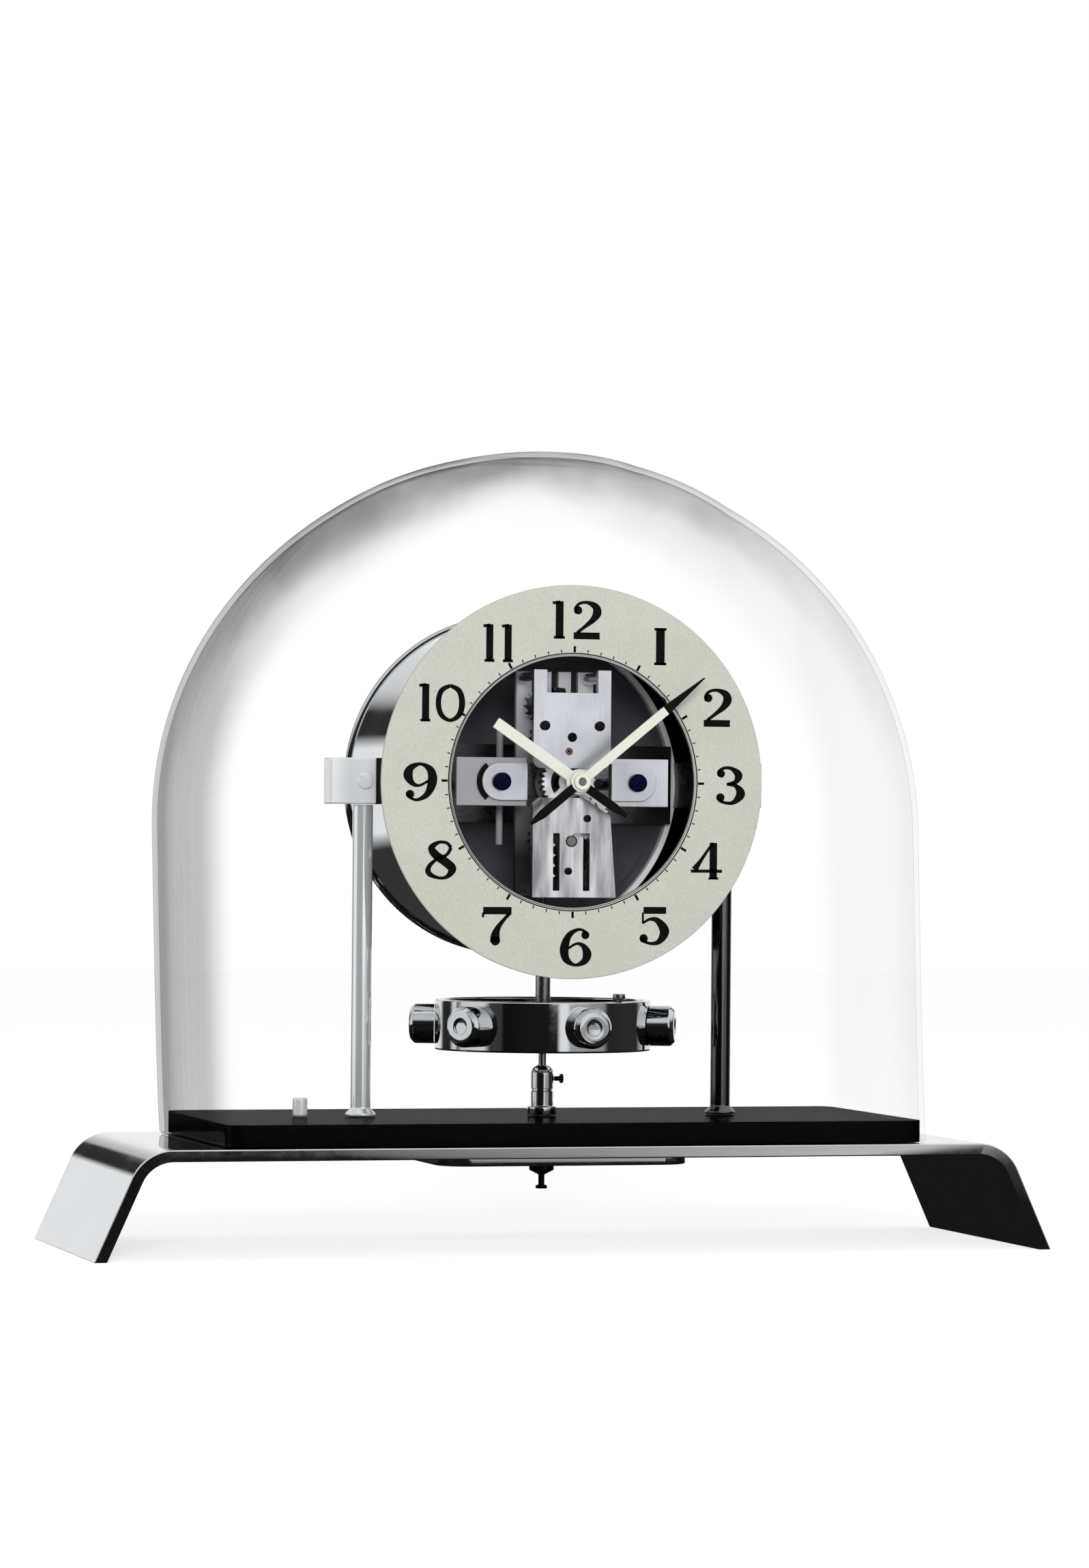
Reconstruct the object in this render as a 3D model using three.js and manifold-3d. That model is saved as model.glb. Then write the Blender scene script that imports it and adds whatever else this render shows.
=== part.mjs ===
// Atmospheric clock: a torsion-balance clock in an open drum, under a blown glass dome.
// Millimetres, +Z up, ground at z = 0, balance axis at x = 0 and y = 0, dial facing -Y.

import * as THREE from 'three';
import { mergeVertices } from 'three/addons/utils/BufferGeometryUtils.js';
import Module from 'manifold-3d';

const wasm = await Module();
wasm.setup();

// Clearances
const seat = 0.2; // a fixed piece and what carries it
const running = 0.3; // pieces that move past each other

// Base strip, one chrome band bent down into two feet
const stripLength = 249;
const stripDepth = 86;
const stripThickness = 3;
const stripTop = 27.5;
const stripBendRadius = 10; // to the middle of the band
const legLean = 24; // degrees from upright

// Glass dome
const domeHalfLength = 94;
const domeRimInset = 0.2; // from the long edges of the strip
const domeWall = 2.2;
const domeCornerRadius = 9;
const domeCrownCorner = 40; // corner radius that the plan grows towards at the crown
const domeSpring = 110; // height at which the arch starts
const domeTop = 204;
const domeLean = 5.8; // how far the blown crown stands to the left
const domePlay = 1;

// Plinth inside the dome
const plinthThickness = 5.6;
const plinthCornerRadius = 4;
const plinthStudRadius = 1.9; // bright stud on the plinth, left of the left pillar
const plinthStudHeight = 4.7;
const plinthStudSpacing = 15.8; // from the axis of the left pillar

// Plate and screw under the base
const underPlateLength = 66;
const underPlateDepth = 52;
const underPlateThickness = 2.6;
const underPlateCornerRadius = 8;
const lockShankRadius = 1.5;
const lockHeadRadius = 3.2;
const lockHeadHeight = 3.5;
const lockHeadTaper = 1.2; // height of the cone below its full width
const lockStemRadius = 0.8;
const lockStemLength = 3.6;
const lockFlangeRadius = 1.5;
const lockFlangeHeight = 0.9;

// Lock post that steadies the balance from below
const postRadius = 2.95;
const postHeight = 13;
const postCollarRadius = 3.9;
const postCollarHeight = 2.2;
const postLift = 1.5; // rise that brings the post up under the balance
const postBorePlay = 1; // left below the pivot when the post is up
const lockPinHeight = 9.3; // above the foot of the post
const lockPinRadius = 0.6;
const lockPinReach = 2.3;
const lockPinHeadRadius = 1.2;
const lockPinHeadLength = 0.7;

// Pillars and the blocks on their heads
const pillarRadius = 2.6;
const pillarFootRadius = 3.9;
const pillarFootHeight = 1.8;
const blockLength = 12;
const blockDepth = 8.4;
const blockHeight = 11.8;
const blockScrewRadius = 2;
const blockScrewHead = 0.9;
const blockScrewInset = 3.1;
const padThickness = 1.1;

// Drum
const drumRadius = 44;
const drumWall = 1;
const drumCentreHeight = 119.2;
const drumFront = -26.9;
const drumBackPlay = 2.8; // between the back cover and the glass
const drumFlangeRadius = 48.6;
const drumFlangeThickness = 1;
const drumBeadRadius = 0.9;
const coverDish = 3;
const coverThickness = 0.8;
const coverRimWidth = 7;

// Dial ring
const dialRadius = 50;
const dialHoleRadius = 32.3;
const dialThickness = 1.2;
const dialEdgeRound = 0.35;

// Capsule and its carrier ring
const carrierDepth = 3;
const carrierGap = 3.6; // between the outsides of the ring and the drum
const carrierWall = 1.5;
const lugHeight = 12;
const lugFront = -4;
const capsuleDepth = 15;
const capsulePlay = 2.2; // between the capsule and the dished cover
const capsuleFolds = 3;
const capsuleFoldDepth = 3;
const rearBarHeight = 20.4;
const rearBarThickness = 2.2;
const plungerDiscRadius = 7;
const plungerDiscThickness = 0.9;
const plungerRodRadius = 1.4;
const plungerTravel = 2; // forward, from the place shown
const wireClearance = 2; // left between the plunger and the torsion wire

// Movement frame
const bridgeHalfWidth = 10.2;
const bridgeFront = -26.7;
const bridgeThickness = 2;
const upperBridgeBottom = 3.5; // heights in the movement are above the dial centre
const upperBridgeTop = 28.5;
const notchHalfWidth = 6.7;
const notchBottom = 22.7;
const lowerBridgeTop = -4;
const lowerBridgeBottom = -29.3;
const lowerBridgeSlope = 4.5; // fall of its head towards the right
const lowerBridgeSplay = 1.6; // how far its right foot stands out
const slotInner = 3.1;
const slotOuter = 4.8;
const slotTop = -13;
const slotBottom = -27.6;
const rearPlateFront = -9.4;
const rearPlateThickness = 1.8;
const combSlotWidth = 1.9;
const combSlotPitch = 5.2;
const combSlotDepth = 7;
const framePillarRadius = 1.5;
const framePillarInset = 1.8;
const bridgeScrewInset = 3;
const bridgeScrewRise = 14.3; // above the dial centre
const bridgeScrewRadius = 1.25;
const bridgeScrewHead = 0.5;
const sideRodOffset = 14.8;
const sideRodRadius = 0.9;
const sideRodHalfLength = 16;

// Arms that hold the movement
const armInner = 11;
const armOuter = 26.5;
const armHeight = 12.3;
const armThickness = 1.8;
const armFront = -23.4;
const clampHeight = 9.6;
const clampOuter = 23;
const clampThickness = 1;
const armScrewOffset = 17.9;
const armScrewRadius = 2.3;
const armScrewHead = 1.1;
const screwSlotWidth = 0.6;
const screwSlotDepth = 0.4;
const armPostRadius = 1.6;

// Gear train
const trainModule = 0.6;
const barrelTeeth = 30;
const centrePinionTeeth = 20;
const centreWheelTeeth = 30;
const thirdPinionTeeth = 8;
const thirdWheelTeeth = 24;
const escapePinionTeeth = 8;
const escapeOffset = -5; // sideways, from the third arbor
const escapeTeeth = 15;
const escapeRadius = 4.8;
const escapeToothDepth = 1.1;
const wheelThickness = 1;
const wheelRim = 1.5;
const wheelSpokeWidth = 1.3;
const wheelSpokes = 4;
const wheelHubRadius = 1.9;
const arborRadius = 0.8;
const barrelArborRadius = 1.2;
const barrelDepth = 3.6;
const barrelLayer = -18.2; // middle of each layer, along Y
const centreLayer = -15;
const thirdLayer = -12.1;
const pinionLength = 2.2;
const anchorSpan = 52; // degrees from the line of centres to each pallet
const anchorDistance = 6.9;
const anchorThickness = 0.9;
const anchorArmWidth = 0.9;
const palletGap = 0.36;
const crutchLength = 1;

// Motion work behind the hands
const motionDistance = 8.64;
const cannonTeeth = 10;
const minuteWheelTeeth = 30;
const minutePinionTeeth = 8;
const hourWheelTeeth = 32;
const hourLayer = -23.7;
const minuteLayer = -22;
const cannonRadius = 1.3;
const hourPipeWall = 0.5;
const motionPitchBearing = -63; // degrees from +X to the minute wheel's stud
const studRadius = 0.6;

// Hands
const hourHandFront = -33.4;
const minuteHandFront = -35.6;
const handThickness = 0.8;
const minuteHandLength = 42;
const minuteBatonLength = 28.8;
const minuteHandWidth = 2.3;
const minuteTipWidth = 1.8;
const minuteTailLength = 16.8;
const hourHandLength = 26.4;
const hourHandWidth = 2.8;
const hourTailLength = 15.2;
const handTailWidth = 2.2;
const handPointWidth = 0.5;
const handHubRadius = 2.6;
const nutRadius = 2.1;
const nutThickness = 1.4;
const minuteHandAngle = 50.4; // degrees clockwise from twelve, eight minutes and a bit past ten
const hourHandAngle = 300 + minuteHandAngle / 12;

// Suspension and balance
const collarRadius = 6;
const collarHeight = 7;
const collarFlutes = 12;
const collarFluteRadius = 0.6;
const collarBottom = 17.5; // above the dial centre
const bracketThickness = 2.4;
const bracketWidth = 9;
const wireRadius = 0.3;
const balanceCentreHeight = 56.8;
const ringRadius = 27.9;
const ringWall = 1.8;
const ringHeight = 13;
const weightCount = 6;
const weightRadius = 5.2;
const weightReach = 34.4; // from the balance axis to the outer face of a weight
const weightBearing = -22.5; // degrees from +X to the first weight
const weightRound = 1.1;
const spokeCount = 3;
const balanceSpokeWidth = 4;
const balanceSpokeThickness = 2;
const balanceHubRadius = 4.4;
const balanceHubHeight = 6;
const stemRadius = 1.95;
const stemTop = 21; // above the middle of the ring
const pivotRadius = 1;
const pivotBottom = -12.8; // below the middle of the ring

// Finishes
const chrome = finish('#d4d8db', 0.08, 1);
const steel = finish('#9a9ca0', 0.25, 1);
const darkSteel = finish('#3c3c40', 0.3, 1);
const nickel = finish('#cdced4', 0.3, 0.9);
const bluedSteel = finish('#1b1f45', 0.25, 0.9);
const blackGloss = finish('#0c0c0d', 0.12, 0);
const dialSilver = finish('#c3c3b5', 0.55, 0.1);
const capsuleGrey = finish('#55565a', 0.45, 0.7);
const rubber = finish('#151516', 0.7, 0);
const handCream = finish('#d8d8cc', 0.5, 0);
const handBlack = finish('#0d0d0c', 0.4, 0.1);
const glass = new THREE.MeshStandardMaterial({
  color: '#eef2f4',
  roughness: 0.02,
  metalness: 0,
  transparent: true,
  opacity: 0.25,
});

function finish(color, roughness, metalness) {
  return new THREE.MeshStandardMaterial({ color, roughness, metalness, flatShading: true });
}

// Geometry to solid and back

function degrees(angle) {
  return THREE.MathUtils.degToRad(angle);
}

function signedVolume(corners, faces) {
  const a = new THREE.Vector3();
  const b = new THREE.Vector3();
  const c = new THREE.Vector3();
  let volume = 0;
  for (let i = 0; i < faces.length; i += 3) {
    a.fromArray(corners, 3 * faces[i]);
    b.fromArray(corners, 3 * faces[i + 1]);
    c.fromArray(corners, 3 * faces[i + 2]);
    volume += a.dot(b.cross(c)) / 6;
  }
  return volume;
}

// A closed three.js geometry as a solid, with its faces turned outwards.
function solid(geometry) {
  geometry.deleteAttribute('uv');
  geometry.deleteAttribute('normal');
  const merged = mergeVertices(geometry, 1e-4);
  const corners = merged.attributes.position.array;
  const faces = [];
  for (let i = 0; i < merged.index.count; i += 3) {
    const [a, b, c] = [0, 1, 2].map((k) => merged.index.getX(i + k));
    if (a !== b && b !== c && c !== a) faces.push(a, b, c);
  }
  if (signedVolume(corners, faces) < 0) faces.reverse();
  return new wasm.Manifold(new wasm.Mesh({
    numProp: 3,
    vertProperties: new Float32Array(corners),
    triVerts: new Uint32Array(faces),
  }));
}

function geometryOf(body) {
  const { vertProperties, triVerts } = body.getMesh();
  const geometry = new THREE.BufferGeometry();
  geometry.setAttribute('position', new THREE.BufferAttribute(vertProperties, 3));
  geometry.setIndex(new THREE.BufferAttribute(triVerts, 1));
  geometry.computeVertexNormals();
  return geometry;
}

function join(first, ...others) {
  return others.reduce((whole, piece) => whole.add(piece), first);
}

function cut(first, ...others) {
  return others.reduce((whole, piece) => whole.subtract(piece), first);
}

// Shapes in the three main directions

const largeRound = 40; // sides of a large round piece, and of a small one
const smallRound = 14;

// A front-view outline (x, height) made solid from y = front to y = back.
function plateFacingFront(shape, front, back, curveSegments = 12) {
  const geometry = new THREE.ExtrudeGeometry(shape, {
    depth: back - front,
    bevelEnabled: false,
    curveSegments,
  });
  return solid(geometry.rotateX(Math.PI / 2).translate(0, back, 0));
}

// A plan outline (x, y) made solid from z = bottom to z = top.
function plateLyingFlat(shape, bottom, top, curveSegments = 12) {
  const geometry = new THREE.ExtrudeGeometry(shape, {
    depth: top - bottom,
    bevelEnabled: false,
    curveSegments,
  });
  return solid(geometry.translate(0, 0, bottom));
}

// A profile of [radius, distance] pairs turned about the Z, Y or X direction.
function turned(profile, segments) {
  const points = profile.map(([radius, along]) => new THREE.Vector2(radius, along));
  return new THREE.LatheGeometry(points, segments);
}

function turnedAboutZ(profile, segments = smallRound) {
  return solid(turned(profile, segments).rotateX(Math.PI / 2));
}

function turnedAboutY(profile, segments = smallRound) {
  return solid(turned(profile, segments));
}

function turnedAboutX(profile, segments = smallRound) {
  return solid(turned(profile, segments).rotateZ(-Math.PI / 2));
}

function rodAlongZ(radius, bottom, top, segments = smallRound) {
  return turnedAboutZ([[0, bottom], [radius, bottom], [radius, top], [0, top]], segments);
}

function rodAlongY(radius, front, back, segments = smallRound) {
  return turnedAboutY([[0, front], [radius, front], [radius, back], [0, back]], segments);
}

function tubeProfile(inner, outer, from, to) {
  return [[inner, from], [outer, from], [outer, to], [inner, to], [inner, from]];
}

function box(lengthX, lengthY, lengthZ, x, y, z) {
  return solid(new THREE.BoxGeometry(lengthX, lengthY, lengthZ).translate(x, y, z));
}

// A straight-sided outline, wound anticlockwise so that its holes are cut the right way.
function polygon(points) {
  const corners = points.map(([x, y]) => new THREE.Vector2(x, y));
  if (THREE.ShapeUtils.isClockWise(corners)) corners.reverse();
  return new THREE.Shape(corners);
}

function polar(radius, angle) {
  return [radius * Math.cos(angle), radius * Math.sin(angle)];
}

function roundedRectangle(halfLength, halfDepth, radius) {
  const shape = new THREE.Shape();
  shape.absarc(halfLength - radius, halfDepth - radius, radius, 0, Math.PI / 2);
  shape.absarc(radius - halfLength, halfDepth - radius, radius, Math.PI / 2, Math.PI);
  shape.absarc(radius - halfLength, radius - halfDepth, radius, Math.PI, 1.5 * Math.PI);
  shape.absarc(halfLength - radius, radius - halfDepth, radius, 1.5 * Math.PI, 2 * Math.PI);
  return shape;
}

// Gears

const toothAddendum = 0.7; // share of the module
const toothDedendum = 1.2; // share of the module
const toothTipHalf = 0.09; // share of the pitch

function pitchRadius(teeth, module) {
  return teeth * module / 2;
}

// Outline of a gear with straight-sided teeth, one of them centred on the angle phase.
function gearOutline(teeth, module, phase) {
  const middleRadius = pitchRadius(teeth, module);
  const tip = middleRadius + toothAddendum * module;
  const root = middleRadius - toothDedendum * module;
  const pitchAngle = 2 * Math.PI / teeth;
  const corners = [];
  for (let tooth = 0; tooth < teeth; tooth += 1) {
    const middle = phase + tooth * pitchAngle;
    corners.push(polar(tip, middle - toothTipHalf * pitchAngle));
    corners.push(polar(tip, middle + toothTipHalf * pitchAngle));
    corners.push(polar(root, middle + pitchAngle / 2));
  }
  return polygon(corners);
}

// Solids that cut the windows between the spokes of a wheel with the given root radius.
function crossings(root, front, back) {
  const outer = root - wheelRim;
  const inner = wheelHubRadius + wheelRim / 2;
  const outerHalf = Math.PI / wheelSpokes - wheelSpokeWidth / 2 / outer;
  const innerHalf = Math.PI / wheelSpokes - wheelSpokeWidth / 2 / inner;
  const windows = [];
  for (let spoke = 0; spoke < wheelSpokes; spoke += 1) {
    const middle = 2 * Math.PI * spoke / wheelSpokes;
    const window = new THREE.Shape();
    window.absarc(0, 0, outer, middle - outerHalf, middle + outerHalf, false);
    window.absarc(0, 0, inner, middle + innerHalf, middle - innerHalf, true);
    windows.push(plateFacingFront(window, front - 1, back + 1, 3));
  }
  return windows;
}

function toothedWheel(teeth, module, layer, phase) {
  const root = pitchRadius(teeth, module) - toothDedendum * module;
  const front = layer - wheelThickness / 2;
  const back = layer + wheelThickness / 2;
  const disc = plateFacingFront(gearOutline(teeth, module, phase), front, back);
  return cut(disc, ...crossings(root, front, back));
}

function pinion(teeth, module, layer, length, phase) {
  return plateFacingFront(gearOutline(teeth, module, phase), layer - length / 2, layer + length / 2);
}

// Sizes that follow from the ones above

const domeHalfDepth = stripDepth / 2 - domeRimInset;
const plinthHalfLength = domeHalfLength - domeWall - domePlay;
const plinthHalfDepth = domeHalfDepth - domeWall - domePlay;
const plinthBottom = stripTop + seat;
const plinthTop = plinthBottom + plinthThickness;
const domeBottom = stripTop + seat;
const stripUnderside = stripTop - stripThickness;
const underPlateTop = stripUnderside - seat;
const underPlateBottom = underPlateTop - underPlateThickness;
const postBottom = plinthTop + seat;
const postTop = postBottom + postHeight;
const pivotEngagement = postTop - balanceCentreHeight - pivotBottom;
const postBoreDepth = pivotEngagement + postLift + postBorePlay;
const postBoreRadius = pivotRadius + running;
const shankHoleRadius = lockShankRadius + running;
const dialFront = drumFront - seat - dialThickness;
const drumBack = domeHalfDepth - domeWall - drumBackPlay - coverThickness;
const bracketReach = drumRadius + padThickness + 2 * seat;
const pillarOffset = bracketReach + pillarRadius;
const blockBottom = drumCentreHeight - blockHeight / 2;
const bridgeBack = bridgeFront + bridgeThickness;
const rearPlateBack = rearPlateFront + rearPlateThickness;
const barrelDrop = pitchRadius(barrelTeeth, trainModule) + pitchRadius(centrePinionTeeth, trainModule);
const thirdRise = pitchRadius(centreWheelTeeth, trainModule) + pitchRadius(thirdPinionTeeth, trainModule);
const escapeMesh = pitchRadius(thirdWheelTeeth, trainModule)
  + pitchRadius(escapePinionTeeth, trainModule);
const escapeBearing = Math.acos(escapeOffset / escapeMesh);
const escapeRise = thirdRise + escapeMesh * Math.sin(escapeBearing);
const drivingModule = 2 * motionDistance / (cannonTeeth + minuteWheelTeeth);
const hourModule = 2 * motionDistance / (minutePinionTeeth + hourWheelTeeth);
const motionBearing = degrees(motionPitchBearing);
const hourPipeBore = cannonRadius + running;
const hourPipeRadius = hourPipeBore + hourPipeWall;
const ringInnerRadius = ringRadius - ringWall;
const armBack = armFront + armThickness;
const clampFront = armFront - seat - clampThickness;
const carrierOuterRadius = drumRadius - carrierGap;
const carrierInnerRadius = carrierOuterRadius - carrierWall;
const capsuleFront = drumBack - coverDish - capsulePlay - capsuleDepth;
const capsuleRadius = carrierInnerRadius - seat;
const carrierFront = capsuleFront - seat;
const rearBarBack = carrierFront - seat;
const rearBarFront = rearBarBack - rearBarThickness;

// Base

// Side view of the bent band, drawn as one outline around its middle line.
function baseStrip() {
  const turn = degrees(90 - legLean);
  const outer = stripBendRadius + stripThickness / 2;
  const inner = stripBendRadius - stripThickness / 2;
  const centre = stripTop - outer;
  const outerDrop = centre + outer * Math.cos(turn);
  const bend = stripLength / 2 - outer * Math.sin(turn) - outerDrop / Math.tan(turn);
  const innerDrop = centre + inner * Math.cos(turn);
  const innerFoot = bend + inner * Math.sin(turn) + innerDrop / Math.tan(turn);
  const up = Math.PI / 2;
  const band = new THREE.Shape();
  band.moveTo(-innerFoot, 0);
  band.lineTo(-stripLength / 2, 0);
  band.absarc(-bend, centre, outer, up + turn, up, true);
  band.absarc(bend, centre, outer, up, up - turn, true);
  band.lineTo(stripLength / 2, 0);
  band.lineTo(innerFoot, 0);
  band.absarc(bend, centre, inner, up - turn, up, false);
  band.absarc(-bend, centre, inner, up, up + turn, false);
  const strip = plateFacingFront(band, -stripDepth / 2, stripDepth / 2, 10);
  return cut(strip, rodAlongZ(shankHoleRadius, 0, stripTop + 1));
}

function plinth() {
  const outline = roundedRectangle(plinthHalfLength, plinthHalfDepth, plinthCornerRadius);
  const slab = plateLyingFlat(outline, plinthBottom, plinthTop, 4);
  return cut(slab, rodAlongZ(shankHoleRadius, 0, plinthTop + 1));
}

function plinthStud() {
  const foot = plinthTop + seat;
  const round = plinthStudRadius / 4;
  const profile = [
    [0, foot],
    [plinthStudRadius, foot],
    [plinthStudRadius, foot + plinthStudHeight - round],
    [plinthStudRadius - round, foot + plinthStudHeight],
    [0, foot + plinthStudHeight],
  ];
  return turnedAboutZ(profile).translate([-pillarOffset - plinthStudSpacing, 0, 0]);
}

function underPlate() {
  const outline = roundedRectangle(underPlateLength / 2, underPlateDepth / 2, underPlateCornerRadius);
  const plate = plateLyingFlat(outline, underPlateBottom, underPlateTop, 4);
  return cut(plate, rodAlongZ(shankHoleRadius, 0, underPlateTop + 1));
}

// Thumb screw under the base: its shank reaches up to the foot of the lock post.
function lockScrew() {
  const headTop = underPlateBottom - seat;
  const headBottom = headTop - lockHeadHeight;
  const stemBottom = headBottom - lockStemLength;
  const profile = [
    [0, stemBottom],
    [lockFlangeRadius, stemBottom],
    [lockFlangeRadius, stemBottom + lockFlangeHeight],
    [lockStemRadius, stemBottom + lockFlangeHeight],
    [lockStemRadius, headBottom],
    [lockHeadRadius, headBottom + lockHeadTaper],
    [lockHeadRadius, headTop],
    [lockShankRadius, headTop],
    [lockShankRadius, plinthTop],
    [0, plinthTop],
  ];
  return turnedAboutZ(profile);
}

function lockPost() {
  const dome = postRadius * 0.8;
  const profile = [[0, postBottom], [postCollarRadius, postBottom]];
  profile.push([postCollarRadius, postBottom + postCollarHeight]);
  profile.push([postRadius, postBottom + postCollarHeight]);
  const steps = 6;
  for (let step = 0; step <= steps; step += 1) {
    const angle = step / steps * Math.PI / 2;
    profile.push([postRadius * Math.cos(angle), postTop - dome + dome * Math.sin(angle)]);
  }
  profile[profile.length - 1][0] = 0;
  const bore = rodAlongZ(postBoreRadius, postTop - postBoreDepth, postTop + 1);
  return cut(turnedAboutZ(profile), bore);
}

// Small clamping pin on the right of the lock post.
function lockPin() {
  const start = postRadius + seat;
  const end = start + lockPinReach;
  const profile = [
    [0, start],
    [lockPinRadius, start],
    [lockPinRadius, end - lockPinHeadLength],
    [lockPinHeadRadius, end - lockPinHeadLength],
    [lockPinHeadRadius, end],
    [0, end],
  ];
  return turnedAboutX(profile).translate([0, 0, postBottom + lockPinHeight]);
}

// Pillars and brackets, side = -1 for the left one and 1 for the right one

function pillar(side) {
  const foot = plinthTop + seat;
  const top = blockBottom - seat;
  const profile = [
    [0, foot],
    [pillarFootRadius, foot],
    [pillarFootRadius, foot + pillarFootHeight / 3],
    [pillarRadius, foot + pillarFootHeight],
    [pillarRadius, top],
    [0, top],
  ];
  return turnedAboutZ(profile).translate([side * pillarOffset, 0, 0]);
}

function pillarBlock(side) {
  const middle = side * (bracketReach + blockLength / 2);
  return box(blockLength, blockDepth, blockHeight, middle, 0, drumCentreHeight);
}

function bracketPad(side) {
  const middle = side * (drumRadius + seat + padThickness / 2);
  return box(padThickness, blockDepth, blockHeight, middle, 0, drumCentreHeight);
}

function slottedHead(radius, thickness, back, round = 0.25) {
  const front = back - thickness;
  const profile = [
    [0, back],
    [radius, back],
    [radius, front + round],
    [radius - round, front],
    [0, front],
  ];
  const slot = box(2 * radius + 1, 2 * screwSlotDepth, screwSlotWidth, 0, front, 0);
  return cut(turnedAboutY(profile), slot);
}

function blockScrew(side) {
  const across = side * (bracketReach + blockScrewInset);
  const head = slottedHead(blockScrewRadius, blockScrewHead, -blockDepth / 2 - seat);
  return head.translate([across, 0, drumCentreHeight]);
}

// Drum, dial and back cover

function drumShell() {
  const inner = drumRadius - drumWall;
  const profile = [
    [inner, drumFront],
    [drumFlangeRadius, drumFront],
    [drumFlangeRadius, drumFront + drumFlangeThickness],
    [drumRadius, drumFront + drumFlangeThickness],
    [drumRadius, drumBack - 2 * drumBeadRadius],
  ];
  const steps = 4;
  for (let step = 1; step <= steps; step += 1) {
    const angle = step / steps * Math.PI - Math.PI / 2;
    const along = drumBack - drumBeadRadius + drumBeadRadius * Math.sin(angle);
    profile.push([drumRadius + drumBeadRadius * Math.cos(angle), along]);
  }
  profile.push([inner, drumBack], [inner, drumFront]);
  const shell = turnedAboutY(profile, largeRound).translate([0, 0, drumCentreHeight]);
  const stemHole = rodAlongZ(stemRadius + 2 * running, 0, drumCentreHeight);
  return cut(shell, stemHole);
}

function drumBackCover() {
  const radius = drumRadius - drumWall - seat;
  const lipFront = drumBack - 3;
  const well = radius - coverRimWidth;
  const back = drumBack + coverThickness;
  const profile = [
    [radius, lipFront],
    [radius, drumBack - coverThickness],
    [radius - coverThickness, back],
    [well + coverThickness, back],
    [well, back - coverDish],
    [0, back - coverDish],
    [0, back - coverDish - coverThickness],
    [well - coverThickness, back - coverDish - coverThickness],
    [well, drumBack - coverThickness],
    [radius - 2 * coverThickness, drumBack - coverThickness],
    [radius - coverThickness, lipFront],
    [radius, lipFront],
  ];
  return turnedAboutY(profile, largeRound).translate([0, 0, drumCentreHeight]);
}

function dialRing() {
  const back = dialFront + dialThickness;
  const profile = [
    [dialHoleRadius, back],
    [dialHoleRadius, dialFront + dialEdgeRound],
    [dialHoleRadius + dialEdgeRound, dialFront],
    [dialRadius - dialEdgeRound, dialFront],
    [dialRadius, dialFront + dialEdgeRound],
    [dialRadius, back],
    [dialHoleRadius, back],
  ];
  return turnedAboutY(profile, largeRound).translate([0, 0, drumCentreHeight]);
}

// Capsule that winds the clock, its ring and its plunger

// The ring carries the capsule, and its two lugs reach forward along the drum wall to the brackets.
function carrierRing() {
  const back = carrierFront + carrierDepth;
  const profile = tubeProfile(carrierInnerRadius, carrierOuterRadius, carrierFront, back);
  const ring = turnedAboutY(profile, largeRound);
  const lugBand = tubeProfile(carrierOuterRadius - 0.5, drumRadius - drumWall - seat, lugFront, back);
  const lugs = turnedAboutY(lugBand, largeRound);
  const heightBand = box(2 * drumRadius, 4 * back, lugHeight, 0, 0, 0);
  return join(ring, lugs.intersect(heightBand)).translate([0, 0, drumCentreHeight]);
}

function bellowsCapsule() {
  const fold = capsuleDepth / capsuleFolds;
  const profile = [[0, capsuleFront], [capsuleRadius - capsuleFoldDepth, capsuleFront]];
  for (let count = 0; count < capsuleFolds; count += 1) {
    const start = capsuleFront + count * fold;
    profile.push([capsuleRadius, start + 0.3 * fold]);
    profile.push([capsuleRadius, start + 0.5 * fold]);
    profile.push([capsuleRadius - capsuleFoldDepth, start + 0.8 * fold]);
    profile.push([capsuleRadius - capsuleFoldDepth, start + fold]);
  }
  profile.push([0, capsuleFront + capsuleDepth]);
  return turnedAboutY(profile, largeRound / 2).translate([0, 0, drumCentreHeight]);
}

function rearBar() {
  const half = rearBarHeight / 2;
  const reach = Math.sqrt(carrierInnerRadius ** 2 - half ** 2) + 0.6;
  const bar = box(2 * reach, rearBarThickness, rearBarHeight, 0, (rearBarFront + rearBarBack) / 2, 0);
  const bore = rodAlongY(plungerDiscRadius + running, rearBarFront - 1, rearBarBack + 1);
  return cut(bar, bore).translate([0, 0, drumCentreHeight]);
}

function capsulePlunger() {
  const back = capsuleFront - seat;
  const discFront = back - plungerDiscThickness;
  const rodFront = wireRadius + wireClearance + plungerTravel;
  const profile = [
    [0, back],
    [plungerDiscRadius, back],
    [plungerDiscRadius, discFront],
    [plungerRodRadius, discFront],
    [plungerRodRadius, rodFront],
    [0, rodFront],
  ];
  return turnedAboutY(profile).translate([0, 0, drumCentreHeight]);
}

// Movement frame, drawn with heights above the dial centre and lifted into place

function raised(piece) {
  return piece.translate([0, 0, drumCentreHeight]);
}

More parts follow.
